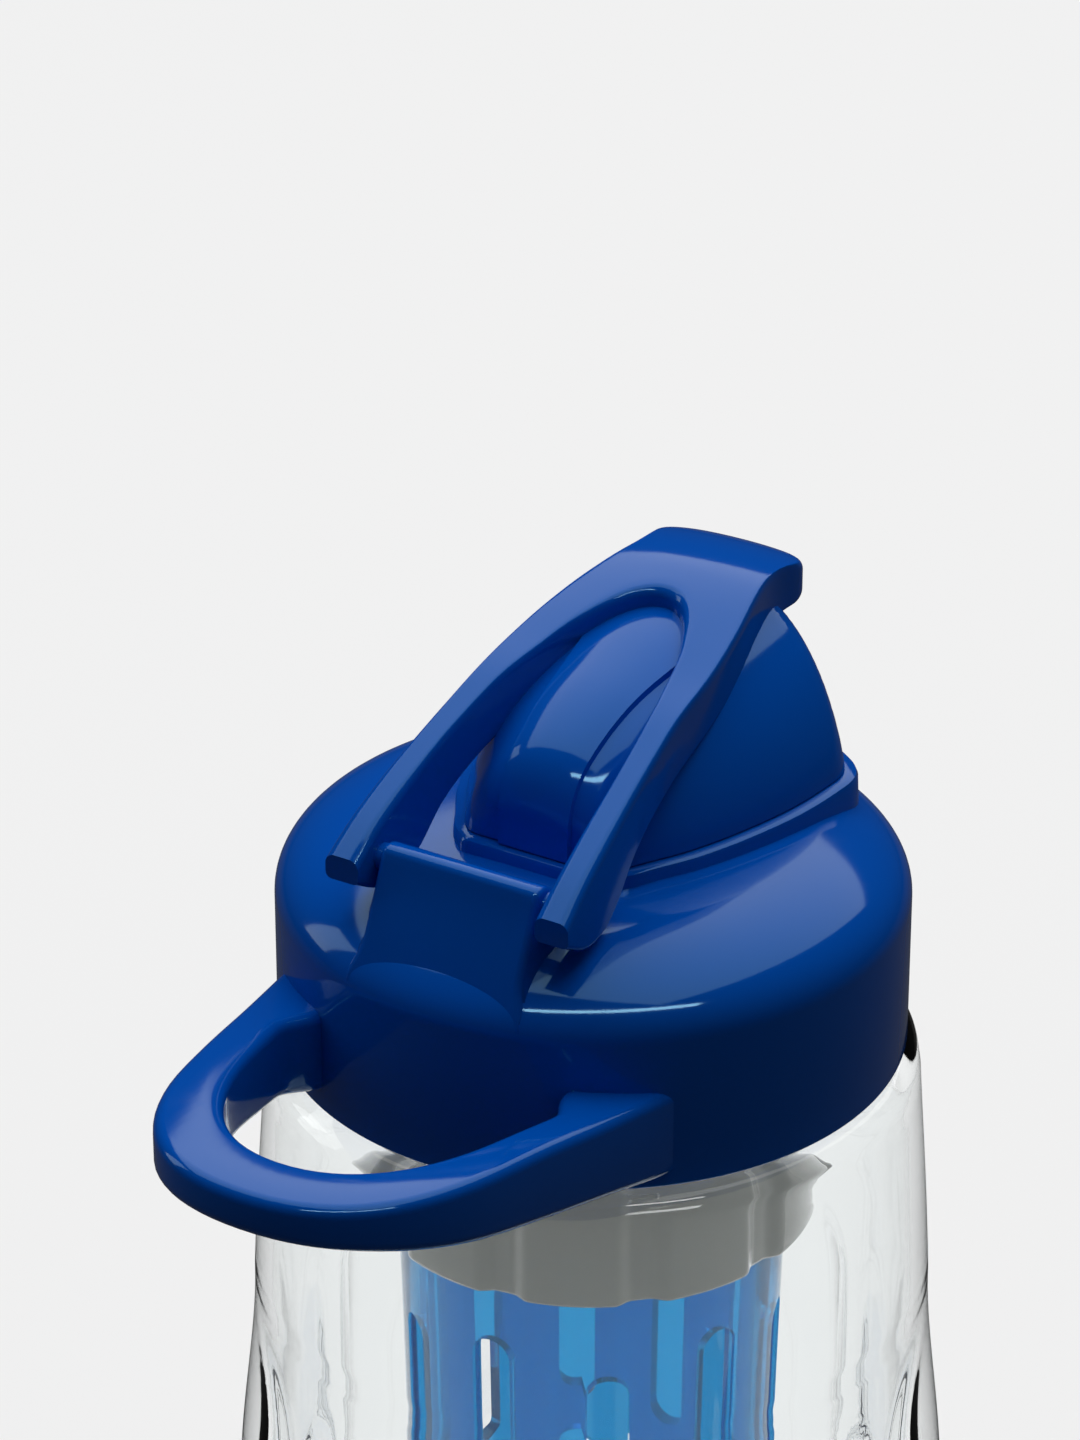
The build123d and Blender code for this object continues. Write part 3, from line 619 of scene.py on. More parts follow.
# ---------------------------------------------------------------- bottle
@dataclass
class ClearBottle:
    """Blown bottle: flat grooved base, raised arched grip pads, shoulder and neck."""

    core_r: float = 37.2
    wall: float = 2.0
    base: float = 3.0
    shoulder_z: float = 187.4
    neck_r: float = 30.0
    bore_r: float = 27.6
    rim_z: float = 204.0
    pad_rise: float = 2.3
    pad_half: float = 16.0
    pad_low: float = 24.0
    pad_high: float = 158.0
    pads: int = 6
    pad_soft: float = 5.0
    flare: float = 30.0

    def profile(self) -> list[Sequence[float]]:
        """Return the closed profile, outside first and then the hollow."""
        inner = self.core_r - self.wall
        outside = arc((self.core_r, 158.4), (36.6, 171.0), (35.9, 178.0), (35.6, 183.5), 14)
        inside = arc((33.4, 183.0), (33.9, 177.0), (34.6, 171.0), (inner, 158.4), 14)
        return [
            (0, 0), (15, 0, 0.4), (15.4, 1, 0.4), (19.6, 1, 0.4), (20, 0, 0.4),
            (self.core_r, 0, 7.9),
            *outside,
            (35.0, self.shoulder_z, 1.9),
            (self.neck_r, self.shoulder_z, 0.5),
            (self.neck_r, self.rim_z, 0.7),
            (self.bore_r, self.rim_z, 0.7),
            (self.bore_r, 185.4, 1.2),
            (33.0, 185.2, 1.4),
            *inside,
            (inner, self.base, 5.9),
            (0, self.base),
        ]

    def rise(self, angle: float, height: float) -> float:
        """Say how far the wall stands out at a place.

        Args:
            angle: Angle round the axis.
            height: Height over the base.

        Returns:
            Rise of the pad there.
        """
        pitch = math.tau / self.pads
        off = (angle - pitch / 2) % pitch
        across = (min(off, pitch - off)) * self.core_r
        middle = (self.pad_low + self.pad_high) / 2
        reach = (self.pad_high - self.pad_low) / 2
        beyond = max(0.0, abs(height - middle) - (reach - self.pad_half))
        inside = self.pad_half - math.hypot(across, beyond)
        swell = step_up((reach - abs(height - middle)) / self.flare)
        return self.pad_rise * swell * step_up(inside / self.pad_soft + 0.3)

    def build(self) -> None:
        """Make the wall and its neck thread."""
        bm = spun(self.profile(), steps=360, segments=8, rows_mm=1.7)
        for vert in bm.verts:
            if not self.pad_low < vert.co.z < self.pad_high:
                continue
            if math.hypot(vert.co.x, vert.co.y) > self.neck_r:
                move_out(vert, self.rise(math.atan2(vert.co.y, vert.co.x), vert.co.z))
        wall = finish_piece("bottle_wall", bm, CLEAR_BODY, Body.BOTTLE, crease=60)
        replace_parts(wall, "bottle_body")
        wall.visible_shadow = False
        thread = ScrewThread(self.neck_r, self.neck_r + NECK_THREAD_DEPTH, 191.6, **NECK_THREAD)
        finish_piece("neck_thread", thread.build(), CLEAR_BODY, Body.BOTTLE)


# ---------------------------------------------------------------- cover outline
def blend_low(first: float, second: float, width: float) -> float:
    """Return the lower of two values, rounded over where they are close."""
    near = max(width - abs(first - second), 0.0) / width
    return min(first, second) - near * near * width / 4


@dataclass
class HoodShape:
    """Form of the cover's hood: sloped flanks, a rising roof and a turned rear wall.

    Attributes:
        core: Point inside the hood that its skin is measured from.
        rim_z: Height of the rim.
        front_y: Front wall.
        widths: Half widths at the rim along Y.
        roof: Heights of the roof along Y.
        rear_low_r: Radius of the rear wall at the rim.
        rear_high_r: Its radius at rear_high_z.
        flank: Powers that set how square the flanks are.
        edge: Width over which two walls round into each other.
        band: Half width of the raised middle band along Y.
        band_rise: Height of the band over the flanks.
        fall_mm: Distance that stands for the fall from the spine to the skin.
        reach: Length that is sure to cross the skin.
        halvings: How often that length is halved to find it.
    """

    core: Vector = field(default_factory=lambda: Vector((0, 12, 26.8)))
    rim_z: float = 26.8
    front_y: float = -12.4
    widths: tuple[Point, ...] = (
        (-12.4, 8.4), (-10.8, 10.0), (-8.0, 11.6), (-3.5, 14.2), (3.0, 16.8), (11.0, 19.0),
        (20.0, 20.0), (31.0, 20.2),
    )
    roof: tuple[Point, ...] = (
        (-12.4, 33.0), (-11.4, 35.2), (-9.5, 37.4), (-6.5, 39.2), (-2.0, 40.9), (3.0, 42.1),
        (11.0, 43.5), (20.0, 44.4), (31.0, 45.0),
    )
    rear_low_r: float = 29.3
    rear_high_r: float = 27.2
    rear_high_z: float = 46.0
    flank: Point = (2.3, 1.4)
    edge: float = 2.4
    band: tuple[Point, ...] = ((-13.0, 4.2), (-10.0, 4.4), (0.5, 5.1), (12.0, 6.5), (24.0, 7.0))
    band_rise: float = 0.6
    fall_mm: float = 9.0
    reach: float = 60.0
    halvings: int = 26

    def depth(self, spot: Vector, inset: float) -> float:
        """Say how far a point is inside the hood.

        Args:
            spot: The point.
            inset: Distance of the skin inside the outer one.

        Returns:
            Rough distance, negative outside.
        """
        half = smooth_line(self.widths, spot.y) - inset
        high = smooth_line(self.roof, spot.y) - inset - self.rim_z
        across, up = abs(spot.x) / half, max(0.0, spot.z - self.rim_z) / high
        section = (1 - across ** self.flank[0] - up ** self.flank[1]) * self.fall_mm
        climb = (spot.z - self.rim_z) / (self.rear_high_z - self.rim_z)
        wall_r = self.rear_low_r + (self.rear_high_r - self.rear_low_r) * climb
        rear = wall_r - inset - math.hypot(spot.x, spot.y)
        front = spot.y - self.front_y - inset
        return blend_low(blend_low(section, rear, self.edge), front, self.edge)

    def cast(self, start: Vector, way: Vector, inset: float) -> Vector:
        """Find where a line from inside meets the skin.

        Args:
            start: Start of the line.
            way: Its direction.
            inset: Distance of the skin inside the outer one.

        Returns:
            The point on the skin.
        """
        near, far = 0.0, self.reach
        for _ in range(self.halvings):
            middle = (near + far) / 2
            if self.depth(start + way * middle, inset) > 0:
                near = middle
            else:
                far = middle
        return start + way * near

    def outline(self, inset: float, count: int) -> list[Vector]:
        """Return the rim in plan, moved inwards.

        Args:
            inset: Distance inwards, negative for outwards.
            count: Number of points.

        Returns:
            Points round the rim.
        """
        turns = [math.tau * index / count for index in range(count)]
        ways = [Vector((math.cos(turn), math.sin(turn), 0)) for turn in turns]
        return [self.cast(self.core, way, inset) for way in ways]


HOOD = HoodShape()


# ---------------------------------------------------------------- lid
@dataclass
class ScrewLid:
    """Lid moulding: skirt, rounded shoulder, crown, boss, seat, hinge block and loop."""

    skirt_r: float = 34.0
    bore_r: float = 31.6
    skirt_top: float = 17.2
    crown_r: float = 21.0
    crown_edge_z: float = 24.7
    crown_z: float = 25.3
    roof: float = 2.2
    seat_z: float = 26.6
    gasket_z: float = 17.6
    boss_r: float = 21.3
    boss_wall: float = 2.0
    boss_foot: float = -11.8
    spout_hole_r: float = 6.2
    vent_hole_r: float = 1.5
    vent_y: float = -7.2
    block_half: float = 9.5
    crest_z: float = 31.8

    def form(self) -> bpy.types.Object:
        """Spin skirt, shoulder, crown, hollow and boss, and bore the roof."""
        shoulder = arc(
            (self.skirt_r, self.skirt_top),
            (self.skirt_r, self.skirt_top + 4.2),
            (self.crown_r + 7.2, self.crown_edge_z - 0.4),
            (self.crown_r, self.crown_edge_z),
            26,
        )
        under = self.crown_z - self.roof
        inner = self.boss_r - self.boss_wall
        bm = spun(
            [
                (0, self.crown_z),
                (10.5, self.crown_z - 0.08),
                *reversed(shoulder),
                (self.skirt_r, 0, 0.6),
                (self.bore_r, 0, 0.4),
                (self.bore_r, self.gasket_z, 0.3),
                (26.8, self.gasket_z, 0.3),
                (26.8, 21.2, 0.8),
                (self.boss_r, 22.4, 0.6),
                (self.boss_r, self.boss_foot, 0.5),
                (inner, self.boss_foot, 0.4),
                (inner, under - 0.4, 1.0),
                (11.0, under),
                (0, under),
            ],
            steps=240,
        )
        lid = blue_piece("lid_moulding", bm, Body.LID)
        holes = []
        for y, radius in ((SPOUT_Y, self.spout_hole_r), (self.vent_y, self.vent_hole_r)):
            hole = bmesh.new()
            bmesh.ops.create_cone(
                hole,
                cap_ends=True,
                segments=64,
                radius1=radius * MM,
                radius2=radius * MM,
                depth=8 * MM,
            )
            bmesh.ops.translate(
                hole, vec=Vector((0, y, LID_Z + self.crown_z)) * MM, verts=hole.verts
            )
            holes.append(hole)
        cut(lid, holes)
        return lid

    def seat(self) -> None:
        """Raise the rounded ridge that the cover's rim comes down on."""
        bm = bmesh.new()
        rings = [
            (-0.9, 22.0),
            (-0.75, self.seat_z - 0.7),
            (-0.55, self.seat_z - 0.2),
            (-0.1, self.seat_z),
            (1.5, self.seat_z),
            (2.0, self.seat_z - 0.4),
            (2.1, 23.6),
        ]
        loops = [
            wire(bm, [(p.x, p.y, z) for p in HOOD.outline(inset, 240)], closed=True)
            for inset, z in rings
        ]
        bridge_rows(bm, loops, closed=True)
        blue_piece("cover_seat", bm, Body.LID)

    def block(self) -> None:
        """Make the ramped hinge block, flared where it runs out on the shoulder."""
        y, z = HINGE_Y, HINGE_Z
        ramp = arc((y - 1.9, self.crest_z), (y - 3.2, 27.6), (y - 5.9, 23.4), (y - 7.4, 18.4), 18)
        side = [
            *ramp,
            (y - 7.4, 16.0),
            (y + 5.6, 16.0),
            (y + 5.6, 24.2),
            (y + 3.0, z - 0.2),
            (y - 0.1, self.crest_z),
        ]
        bm = bmesh.new()
        half = self.block_half
        verts = wire(bm, [(-half, py, pz) for py, pz in side], closed=True)
        face = bm.faces.new(verts)
        grown = bmesh.ops.extrude_face_region(bm, geom=[face])["geom"]
        moved = [item for item in grown if isinstance(item, bmesh.types.BMVert)]
        bmesh.ops.translate(bm, vec=(2 * half, 0, 0), verts=moved)
        bmesh.ops.recalc_face_normals(bm, faces=bm.faces)
        for vert in bm.verts:
            low = step_up((24.5 - vert.co.z) / 6.0)
            vert.co.x += math.copysign(1.4 * low * low, vert.co.x)
        bm.normal_update()
        sharp = [
            edge
            for edge in bm.edges
            if len(edge.link_faces) == 2
            and edge.calc_face_angle(0) > math.radians(30)
            and max(v.co.z for v in edge.verts) > 17
        ]
        round_over(bm, sharp, 0.9, 5, clamp=True)
        blue_piece("hinge_block", bm, Body.LID)

    def sleeve(self) -> None:
        """Hang the sleeve that takes the mouthpiece under the roof."""
        under = self.crown_z - self.roof
        bm = spun(
            [
                (9.4, under + 0.5),
                (9.4, under - 5.0, 0.3),
                (10.8, under - 5.0, 0.3),
                (10.8, under + 0.5),
            ],
            steps=96,
        )
        bmesh.ops.translate(bm, vec=(0, SPOUT_Y, 0), verts=bm.verts)
        blue_piece("mouthpiece_sleeve", bm, Body.LID)

    def threads(self) -> None:
        """Wind the thread inside the skirt and the one on the boss."""
        skirt = ScrewThread(self.bore_r, self.bore_r - NECK_THREAD_DEPTH, 5.7, **NECK_THREAD)
        blue_piece("skirt_thread", skirt.build(), Body.LID)
        boss = ScrewThread(self.boss_r, self.boss_r + BOSS_THREAD_DEPTH, -9.6, **BOSS_THREAD)
        blue_piece("boss_thread", boss.build(), Body.LID)

    def build(self) -> None:
        """Make every piece of the lid moulding."""
        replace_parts(self.form(), "lid_shell")
        self.seat()
        self.block()
        self.sleeve()
        self.threads()
        CarryLoop().build()


@dataclass
class CarryLoop:
    """Finger loop: flat-topped bar that is deep at its roots and thin at the tip."""

    root_y: float = -17.0
    tip_y: float = -68.0
    tip_bar: float = 8.0
    top: tuple[Point, ...] = (
        (-70.0, 15.4), (-58.0, 14.9), (-44.0, 13.8), (-33.0, 12.4), (-16.0, 10.6),
    )
    foot: tuple[Point, ...] = (
        (-70.0, 11.0), (-64.0, 9.9), (-54.0, 7.4), (-44.0, 5.2), (-33.0, 3.0), (-16.0, -0.6),
    )
    edge: float = 1.3
    flare: float = 3.0

    def line(self, root: float, side: Point, tip_y: float, handle: float) -> list[Point]:
        """Return one edge of the loop in plan, from root to root round the tip."""
        lean = (root - side[0]) / (self.root_y - side[1])
        handles = (side[0] - lean * handle, side[1] - handle)
        tip = arc(side, handles, (side[0] * 0.55, tip_y), (0, tip_y), 18)
        straight = [
            (root + (side[0] - root) * k / 24, self.root_y + (side[1] - self.root_y) * k / 24)
            for k in range(24)
        ]
        half = straight + tip
        return half + [(-x, y) for x, y in half[-2::-1]]

    def build(self) -> None:
        """Make the bar and round its edges."""
        outer = self.line(25.3, (19.6, -48.5), self.tip_y, 13.0)
        inner = self.line(20.1, (15.2, -42.9), self.tip_y + self.tip_bar, 10.0)
        inner = [(x - math.copysign(self.flare * step_up((y + 36) / 6), x), y) for x, y in inner]
        bm = bmesh.new()
        rows = [
            wire(bm, [(x, y, smooth_line(heights, y)) for x, y in edge])
            for heights, edge in (
                (self.top, outer),
                (self.top, inner),
                (self.foot, inner),
                (self.foot, outer),
            )
        ]
        bridge_rows(bm, rows)
        bmesh.ops.holes_fill(bm, edges=bm.edges, sides=4)
        bmesh.ops.recalc_face_normals(bm, faces=bm.faces)
        long_edges = [bm.edges.get(pair) for row in rows for pair in zip(row, row[1:])]
        round_over(bm, long_edges, self.edge, 6)
        blue_piece("carry_loop", bm, Body.LID)


# ---------------------------------------------------------------- flip cover
@dataclass
class FlipCover:
    """Flip cover: hollow hood with its raised band, arched lever, legs and pins."""

    wall: float = 1.8
    pin_r: float = 1.5
    pin_x: float = 9.1
    pin_length: float = 5.0
    leg_y: float = -29.4
    lip_y: float = 33.0
    crown: float = 1.0
    crown_half: float = 14.0
    crown_from: float = -4.0
    crown_over: float = 20.0
    shares: int = 72
    back: tuple[Point, ...] = (
        (-29.6, 30.6), (-25.6, 33.2), (-20.6, 35.6), (-14.6, 38.0), (-9.6, 39.8), (-3.2, 41.9),
        (3.5, 43.2), (10.2, 44.4), (19.1, 45.7), (24.0, 45.7), (28.0, 45.1), (31.0, 44.2),
        (33.5, 43.0),
    )
    belly: tuple[Point, ...] = (
        (-29.6, 28.0), (-25.0, 25.6), (-21.0, 25.6), (-18.0, 27.2), (-14.0, 30.6), (-9.0, 33.2),
        (-2.0, 35.6), (6.0, 37.6), (14.0, 39.4), (24.0, 40.8), (29.0, 41.0), (33.5, 41.4),
    )

    def dome(self) -> bpy.types.Object:
        """Shape the upper half of a sphere into the hood and give it its wall."""
        bm = bmesh.new()
        bmesh.ops.create_uvsphere(bm, u_segments=160, v_segments=90, radius=1.0)
        bmesh.ops.bisect_plane(
            bm,
            geom=[*bm.verts, *bm.edges, *bm.faces],
            dist=1e-5,
            plane_co=(0, 0, 0),
            plane_no=(0, 0, 1),
            clear_inner=True,
        )
        bmesh.ops.remove_doubles(bm, verts=bm.verts, dist=1e-5)
        skin = list(bm.verts)
        copied = bmesh.ops.duplicate(bm, geom=[*bm.verts, *bm.edges, *bm.faces])["geom"]
        lining = [item for item in copied if isinstance(item, bmesh.types.BMVert)]
        for verts, inset in ((skin, HOOD.band_rise), (lining, self.wall)):
            for vert in verts:
                vert.co = HOOD.cast(HOOD.core, vert.co.normalized(), inset)
        rims = [edge for edge in bm.edges if edge.is_boundary]
        bmesh.ops.bridge_loops(bm, edges=rims)
        return blue_piece("cover_hood", bm, Body.COVER)

    def band(self) -> None:
        """Lay the raised middle band over the hood, with crisp side edges."""
        columns, rows, sweep = 16, 72, math.radians(118)
        bm = bmesh.new()
        bmesh.ops.create_grid(bm, x_segments=columns, y_segments=rows, size=1.0)
        for vert in bm.verts:
            side, tilt = vert.co.x, (vert.co.y + 1) / 2 * sweep
            way = Vector((0, -math.cos(tilt), math.sin(tilt)))
            middle = HOOD.cast(HOOD.core, way, 0)
            half = smooth_line(HOOD.band, middle.y)
            sunk = abs(side) > 1 - 1 / columns
            share = min(1.0, abs(side) * columns / (columns - 2))
            across = math.copysign(half * share + (0.25 if sunk else 0.0), side)
            start = HOOD.core + Vector((across, 0, 0))
            skin = HOOD.cast(start, way, HOOD.band_rise + 0.3 if sunk else 0)
            vert.co = skin
        blue_piece("cover_band", bm, Body.COVER, crease=30)

    def outer_edge(self, count: int) -> list[Point]:
        """Return the lever's outer edge in plan, from the leg round the thumb lip."""
        side = (
            (-29.4, 14.6), (-20.6, 13.9), (-10.8, 12.9), (-3.2, 12.2), (3.5, 11.8), (8.0, 11.3),
            (13.2, 10.4), (18.0, 9.3), (22.5, 8.4), (25.5, 8.25), (28.5, 8.55),
        )
        tip_y, tip_half, square = 28.5, 8.55, 2.3
        reach = self.lip_y - tip_y
        tip_count = count // 3
        edge = [(smooth_line(side, y), y) for y in self.spread(self.leg_y, tip_y, count - tip_count)]
        for turn in self.spread(0.0, math.pi / 2, tip_count + 1)[1:]:
            across = max(0.0, math.cos(turn)) ** (2 / square)
            edge.append((tip_half * across, tip_y + reach * math.sin(turn) ** (2 / square)))
        return edge

    def window_edge(self, count: int) -> list[Point]:
        """Return the edge of the lever's window in plan, from the leg to its far end."""
        side = (
            (-29.4, 10.6), (-24.6, 10.5), (-18.2, 10.2), (-12.9, 9.9), (-4.9, 9.0), (0.8, 7.9),
            (5.5, 6.8), (9.0, 5.4),
        )
        far_count = count // 3
        edge = [(smooth_line(side, y), y) for y in self.spread(self.leg_y, 9.0, count - far_count)]
        return edge + arc((5.4, 9.0), (4.0, 12.0), (2.4, 14.5), (0.0, 14.5), far_count + 1)[1:]

    @staticmethod
    def spread(low: float, high: float, count: int) -> list[float]:
        """Return evenly spaced values with both ends."""
        return [low + (high - low) * k / (count - 1) for k in range(count)]

    def ribs(self, rounding: float, middle: int) -> list[tuple[float, float, float]]:
        """Lay out the lines of one face of the lever, rounded over at both edges.

        Args:
            rounding: Radius of the two edges.
            middle: Number of lines between the roundings.

        Returns:
            Share of the width, distance added to it and drop under the face.
        """
        turns = self.spread(math.pi / 2, 0.0, 7)
        bends = [(rounding * (1 - math.sin(t)), rounding * (1 - math.cos(t))) for t in turns]
        outer = [(0.0, inset, drop) for inset, drop in bends]
        flat = [(t, rounding * (1 - 2 * t), 0.0) for t in self.spread(0.0, 1.0, middle)[1:-1]]
        window = [(1.0, -inset, drop) for inset, drop in reversed(bends)]
        return outer + flat + window

    def row(
        self, rib: tuple[float, float, float], heights: tuple[Point, ...], crown: float, way: int
    ) -> list[tuple[float, float, float]]:
        """Return one line of the lever's surface, from leg to leg.

        Args:
            rib: Its place across the lever.
            heights: Heights along Y.
            crown: Rise of the middle over the edges.
            way: 1 for the back and -1 for the belly.

        Returns:
            Points in space.
        """
        share, distance, drop = rib
        points = []
        for (x0, y0), (x1, y1) in zip(self.outer_edge(self.shares), self.window_edge(self.shares)):
            t = share + distance / math.hypot(x1 - x0, y1 - y0)
            x, y = x0 + (x1 - x0) * t, y0 + (y1 - y0) * t
            along = step_up((y - self.crown_from) / self.crown_over)
            domed = crown * along * max(0.0, 1 - (x / self.crown_half) ** 2)
            points.append((x, y, smooth_line(heights, y) + domed - way * drop))
        return points + [(-x, y, z) for x, y, z in points[-2::-1]]

    def lever(self) -> None:
        """Loft the lever's back and belly, with rounded rims."""
        bm = bmesh.new()
        back = [self.row(rib, self.back, self.crown, 1) for rib in self.ribs(1.1, 14)]
        belly = [self.row(rib, self.belly, 0.0, -1) for rib in self.ribs(0.7, 8)]
        rows = [wire(bm, points) for points in back + belly[::-1]]
        bridge_rows(bm, rows)
        bmesh.ops.contextual_create(bm, geom=[edge for edge in bm.edges if edge.is_boundary])
        blue_piece("cover_lever", bm, Body.COVER)

    def pins(self) -> None:
        """Turn the two hinge pins on the inner sides of the legs."""
        for side in Side:
            bm = bmesh.new()
            bmesh.ops.create_cone(
                bm,
                cap_ends=True,
                segments=48,
                radius1=self.pin_r,
                radius2=self.pin_r,
                depth=self.pin_length,
            )
            caps = [
                edge
                for edge in bm.edges
                if abs(edge.verts[0].co.z - edge.verts[1].co.z) < 1e-6
            ]
            round_over(bm, caps, 0.3, 3)
            place = Matrix.Translation((side.value * self.pin_x, HINGE_Y, HINGE_Z))
            turn = Matrix.Rotation(math.pi / 2, 4, "Y")
            bmesh.ops.transform(bm, matrix=place @ turn, verts=bm.verts)
            blue_piece(f"hinge_pin_{side.name.lower()}", bm, Body.COVER)

    def post(self) -> None:
        """Hang the post that holds the stopper under the hood's roof."""
        bm = spun([(1.4, 41.4), (1.4, 38.6), (4.0, 38.6, 0.4), (4.0, 41.4)], steps=64)
        bmesh.ops.translate(bm, vec=(0, SPOUT_Y, 0), verts=bm.verts)
        blue_piece("stopper_post", bm, Body.COVER)

    def build(self) -> None:
        """Make every piece of the cover."""
        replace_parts(self.dome(), "spout_cover")
        self.band()
        self.lever()
        self.pins()
        self.post()


# ---------------------------------------------------------------- mouthpiece
@dataclass
class Mouthpiece:
    """Soft drinking nozzle with a waist, a rolled lip and a flange under the roof."""

    bore_r: float = 3.4

    def build(self) -> None:
        """Spin the nozzle."""
        nozzle = arc((7.4, 28.6), (5.4, 29.6), (5.2, 31.0), (6.3, 34.2), 14)
        bm = spun(
            [
                (self.bore_r, 21.7, 0.3),
                (9.2, 21.7, 0.3), (9.2, 23.1, 0.2), (6.0, 23.1, 0.2), (6.0, 25.3, 0.2),
                (8.0, 25.3, 0.3), (8.0, 27.2, 0.9),
                *nozzle,
                (6.9, 36.0, 0.6),
                (5.6, 37.1, 0.8),
                (self.bore_r, 37.1, 0.7),
            ],
            steps=96,
        )
        bmesh.ops.translate(bm, vec=(0, SPOUT_Y, 0), verts=bm.verts)
        piece = finish_piece("drinking_nozzle", bm, SILICONE, Body.LID, crease=50)
        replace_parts(piece, "mouthpiece")


# ---------------------------------------------------------------- infuser
@dataclass
class CouplingRing:
    """Smoked coupling nut with a plain collar and rounded lobes to grip."""

    outer_r: float = 24.4
    valley_r: float = 23.4
    bore_r: float = 22.3
    basket_bore_r: float = 21.45
    top_z: float = -2.8
    foot_z: float = -20.5
    ledge: float = 4.0
    collar: float = 3.5
    lobes: int = 10
    turn: float = 7.8
    valley_from: float = 0.3
    valley_over: float = 0.14

    def build(self) -> None:
        """Spin the ring, then press the valleys in between its lobes."""
        ledge_z = self.foot_z + self.ledge
        bm = spun(
            [
                (self.basket_bore_r, self.foot_z, 0.4),
                (self.outer_r, self.foot_z, 0.8),
                (self.outer_r, self.top_z - self.collar - 0.6),
                (self.outer_r, self.top_z - self.collar),
                (self.outer_r, self.top_z, 0.5),
                (self.bore_r, self.top_z, 0.4),
                (self.bore_r, ledge_z, 0.3),
                (self.basket_bore_r, ledge_z, 0.3),
            ],
            steps=360,
            rows_mm=1.5,
        )
        pitch = math.tau / self.lobes
        first = math.radians(self.turn)
        for vert in bm.verts:
            if math.hypot(vert.co.x, vert.co.y) < self.outer_r - 1.0:
                continue
            off = (math.atan2(vert.co.y, vert.co.x) - first) % pitch
            off = min(off, pitch - off) / pitch
            valley = step_up((off - self.valley_from) / self.valley_over)
            below = step_up((self.top_z - self.collar - vert.co.z) / 0.8)
            move_out(vert, (self.valley_r - self.outer_r) * valley * below)
        ring = finish_piece("coupling_ring", bm, GREY_RING, Body.INFUSER)
        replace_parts(ring, "infuser_ring")
        thread = ScrewThread(self.bore_r, self.bore_r - BOSS_THREAD_DEPTH, -13.1, **BOSS_THREAD)
        finish_piece("ring_thread", thread.build(), GREY_RING, Body.INFUSER)


@dataclass
class Basket:
    """Tinted basket: slight draft, rounded foot and columns of round-ended slots."""

    top_r: float = 21.2
    foot_r: float = 19.0
    wall: float = 1.6
    foot_z: float = -148.0
    ledge_z: float = -16.5
    flange: float = 2.0
    flange_r: float = 22.1
    columns: int = 10
    rows: int = 3
    slot_half: float = 2.3
    slot_length: float = 33.0
    first_z: float = -28.6
    stagger: float = 3.4
    row_pitch: float = 39.0

    def slots(self) -> BMesh:
        """Make every slot as one set of round-ended bars.

        Returns:
            The bars, in metres.
        """
        bm = bmesh.new()
        for column in range(self.columns):
            for row in range(self.rows):
                top = self.first_z - self.stagger * (column % 2) - row * self.row_pitch
                bar = bmesh.ops.create_cube(bm, size=1.0)["verts"]
                size = Vector((2 * self.slot_half, 12.0, self.slot_length))
                bmesh.ops.scale(bm, vec=size, verts=bar)
                upright = [
                    edge
                    for edge in {e for v in bar for e in v.link_edges}
                    if abs((edge.verts[0].co - edge.verts[1].co).y) > 1
                ]
                rounded = round_over(bm, upright, self.slot_half - 0.02, 8)
                all_verts = {v for v in bar if v.is_valid} | set(rounded["verts"])
                turn = Matrix.Rotation(math.tau * column / self.columns, 4, "Z")
                place = Matrix.Translation((0, -20.0, top - self.slot_length / 2))
                bmesh.ops.transform(bm, matrix=turn @ place, verts=list(all_verts))
        bmesh.ops.translate(bm, vec=UP * LID_Z, verts=bm.verts)
        bmesh.ops.scale(bm, vec=(MM, MM, MM), verts=bm.verts)
        return bm

    def build(self) -> None:
        """Spin the basket and cut its slots."""
        inner_top = self.top_r - self.wall
        bm = spun(
            [
                (0, self.foot_z),
                (self.foot_r, self.foot_z, 4.0),
                (self.top_r, self.ledge_z),
                (self.flange_r, self.ledge_z, 0.2),
                (self.flange_r, self.ledge_z + self.flange, 0.3),
                (inner_top, self.ledge_z + self.flange, 0.3),
                (self.foot_r - self.wall, self.foot_z + self.wall, 2.4),
                (0, self.foot_z + self.wall),
            ],
            steps=180,
        )
        basket = finish_piece("fruit_basket", bm, TINTED_BASKET, Body.INFUSER)
        cut(basket, [self.slots()])
        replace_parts(basket, "infuser_basket")


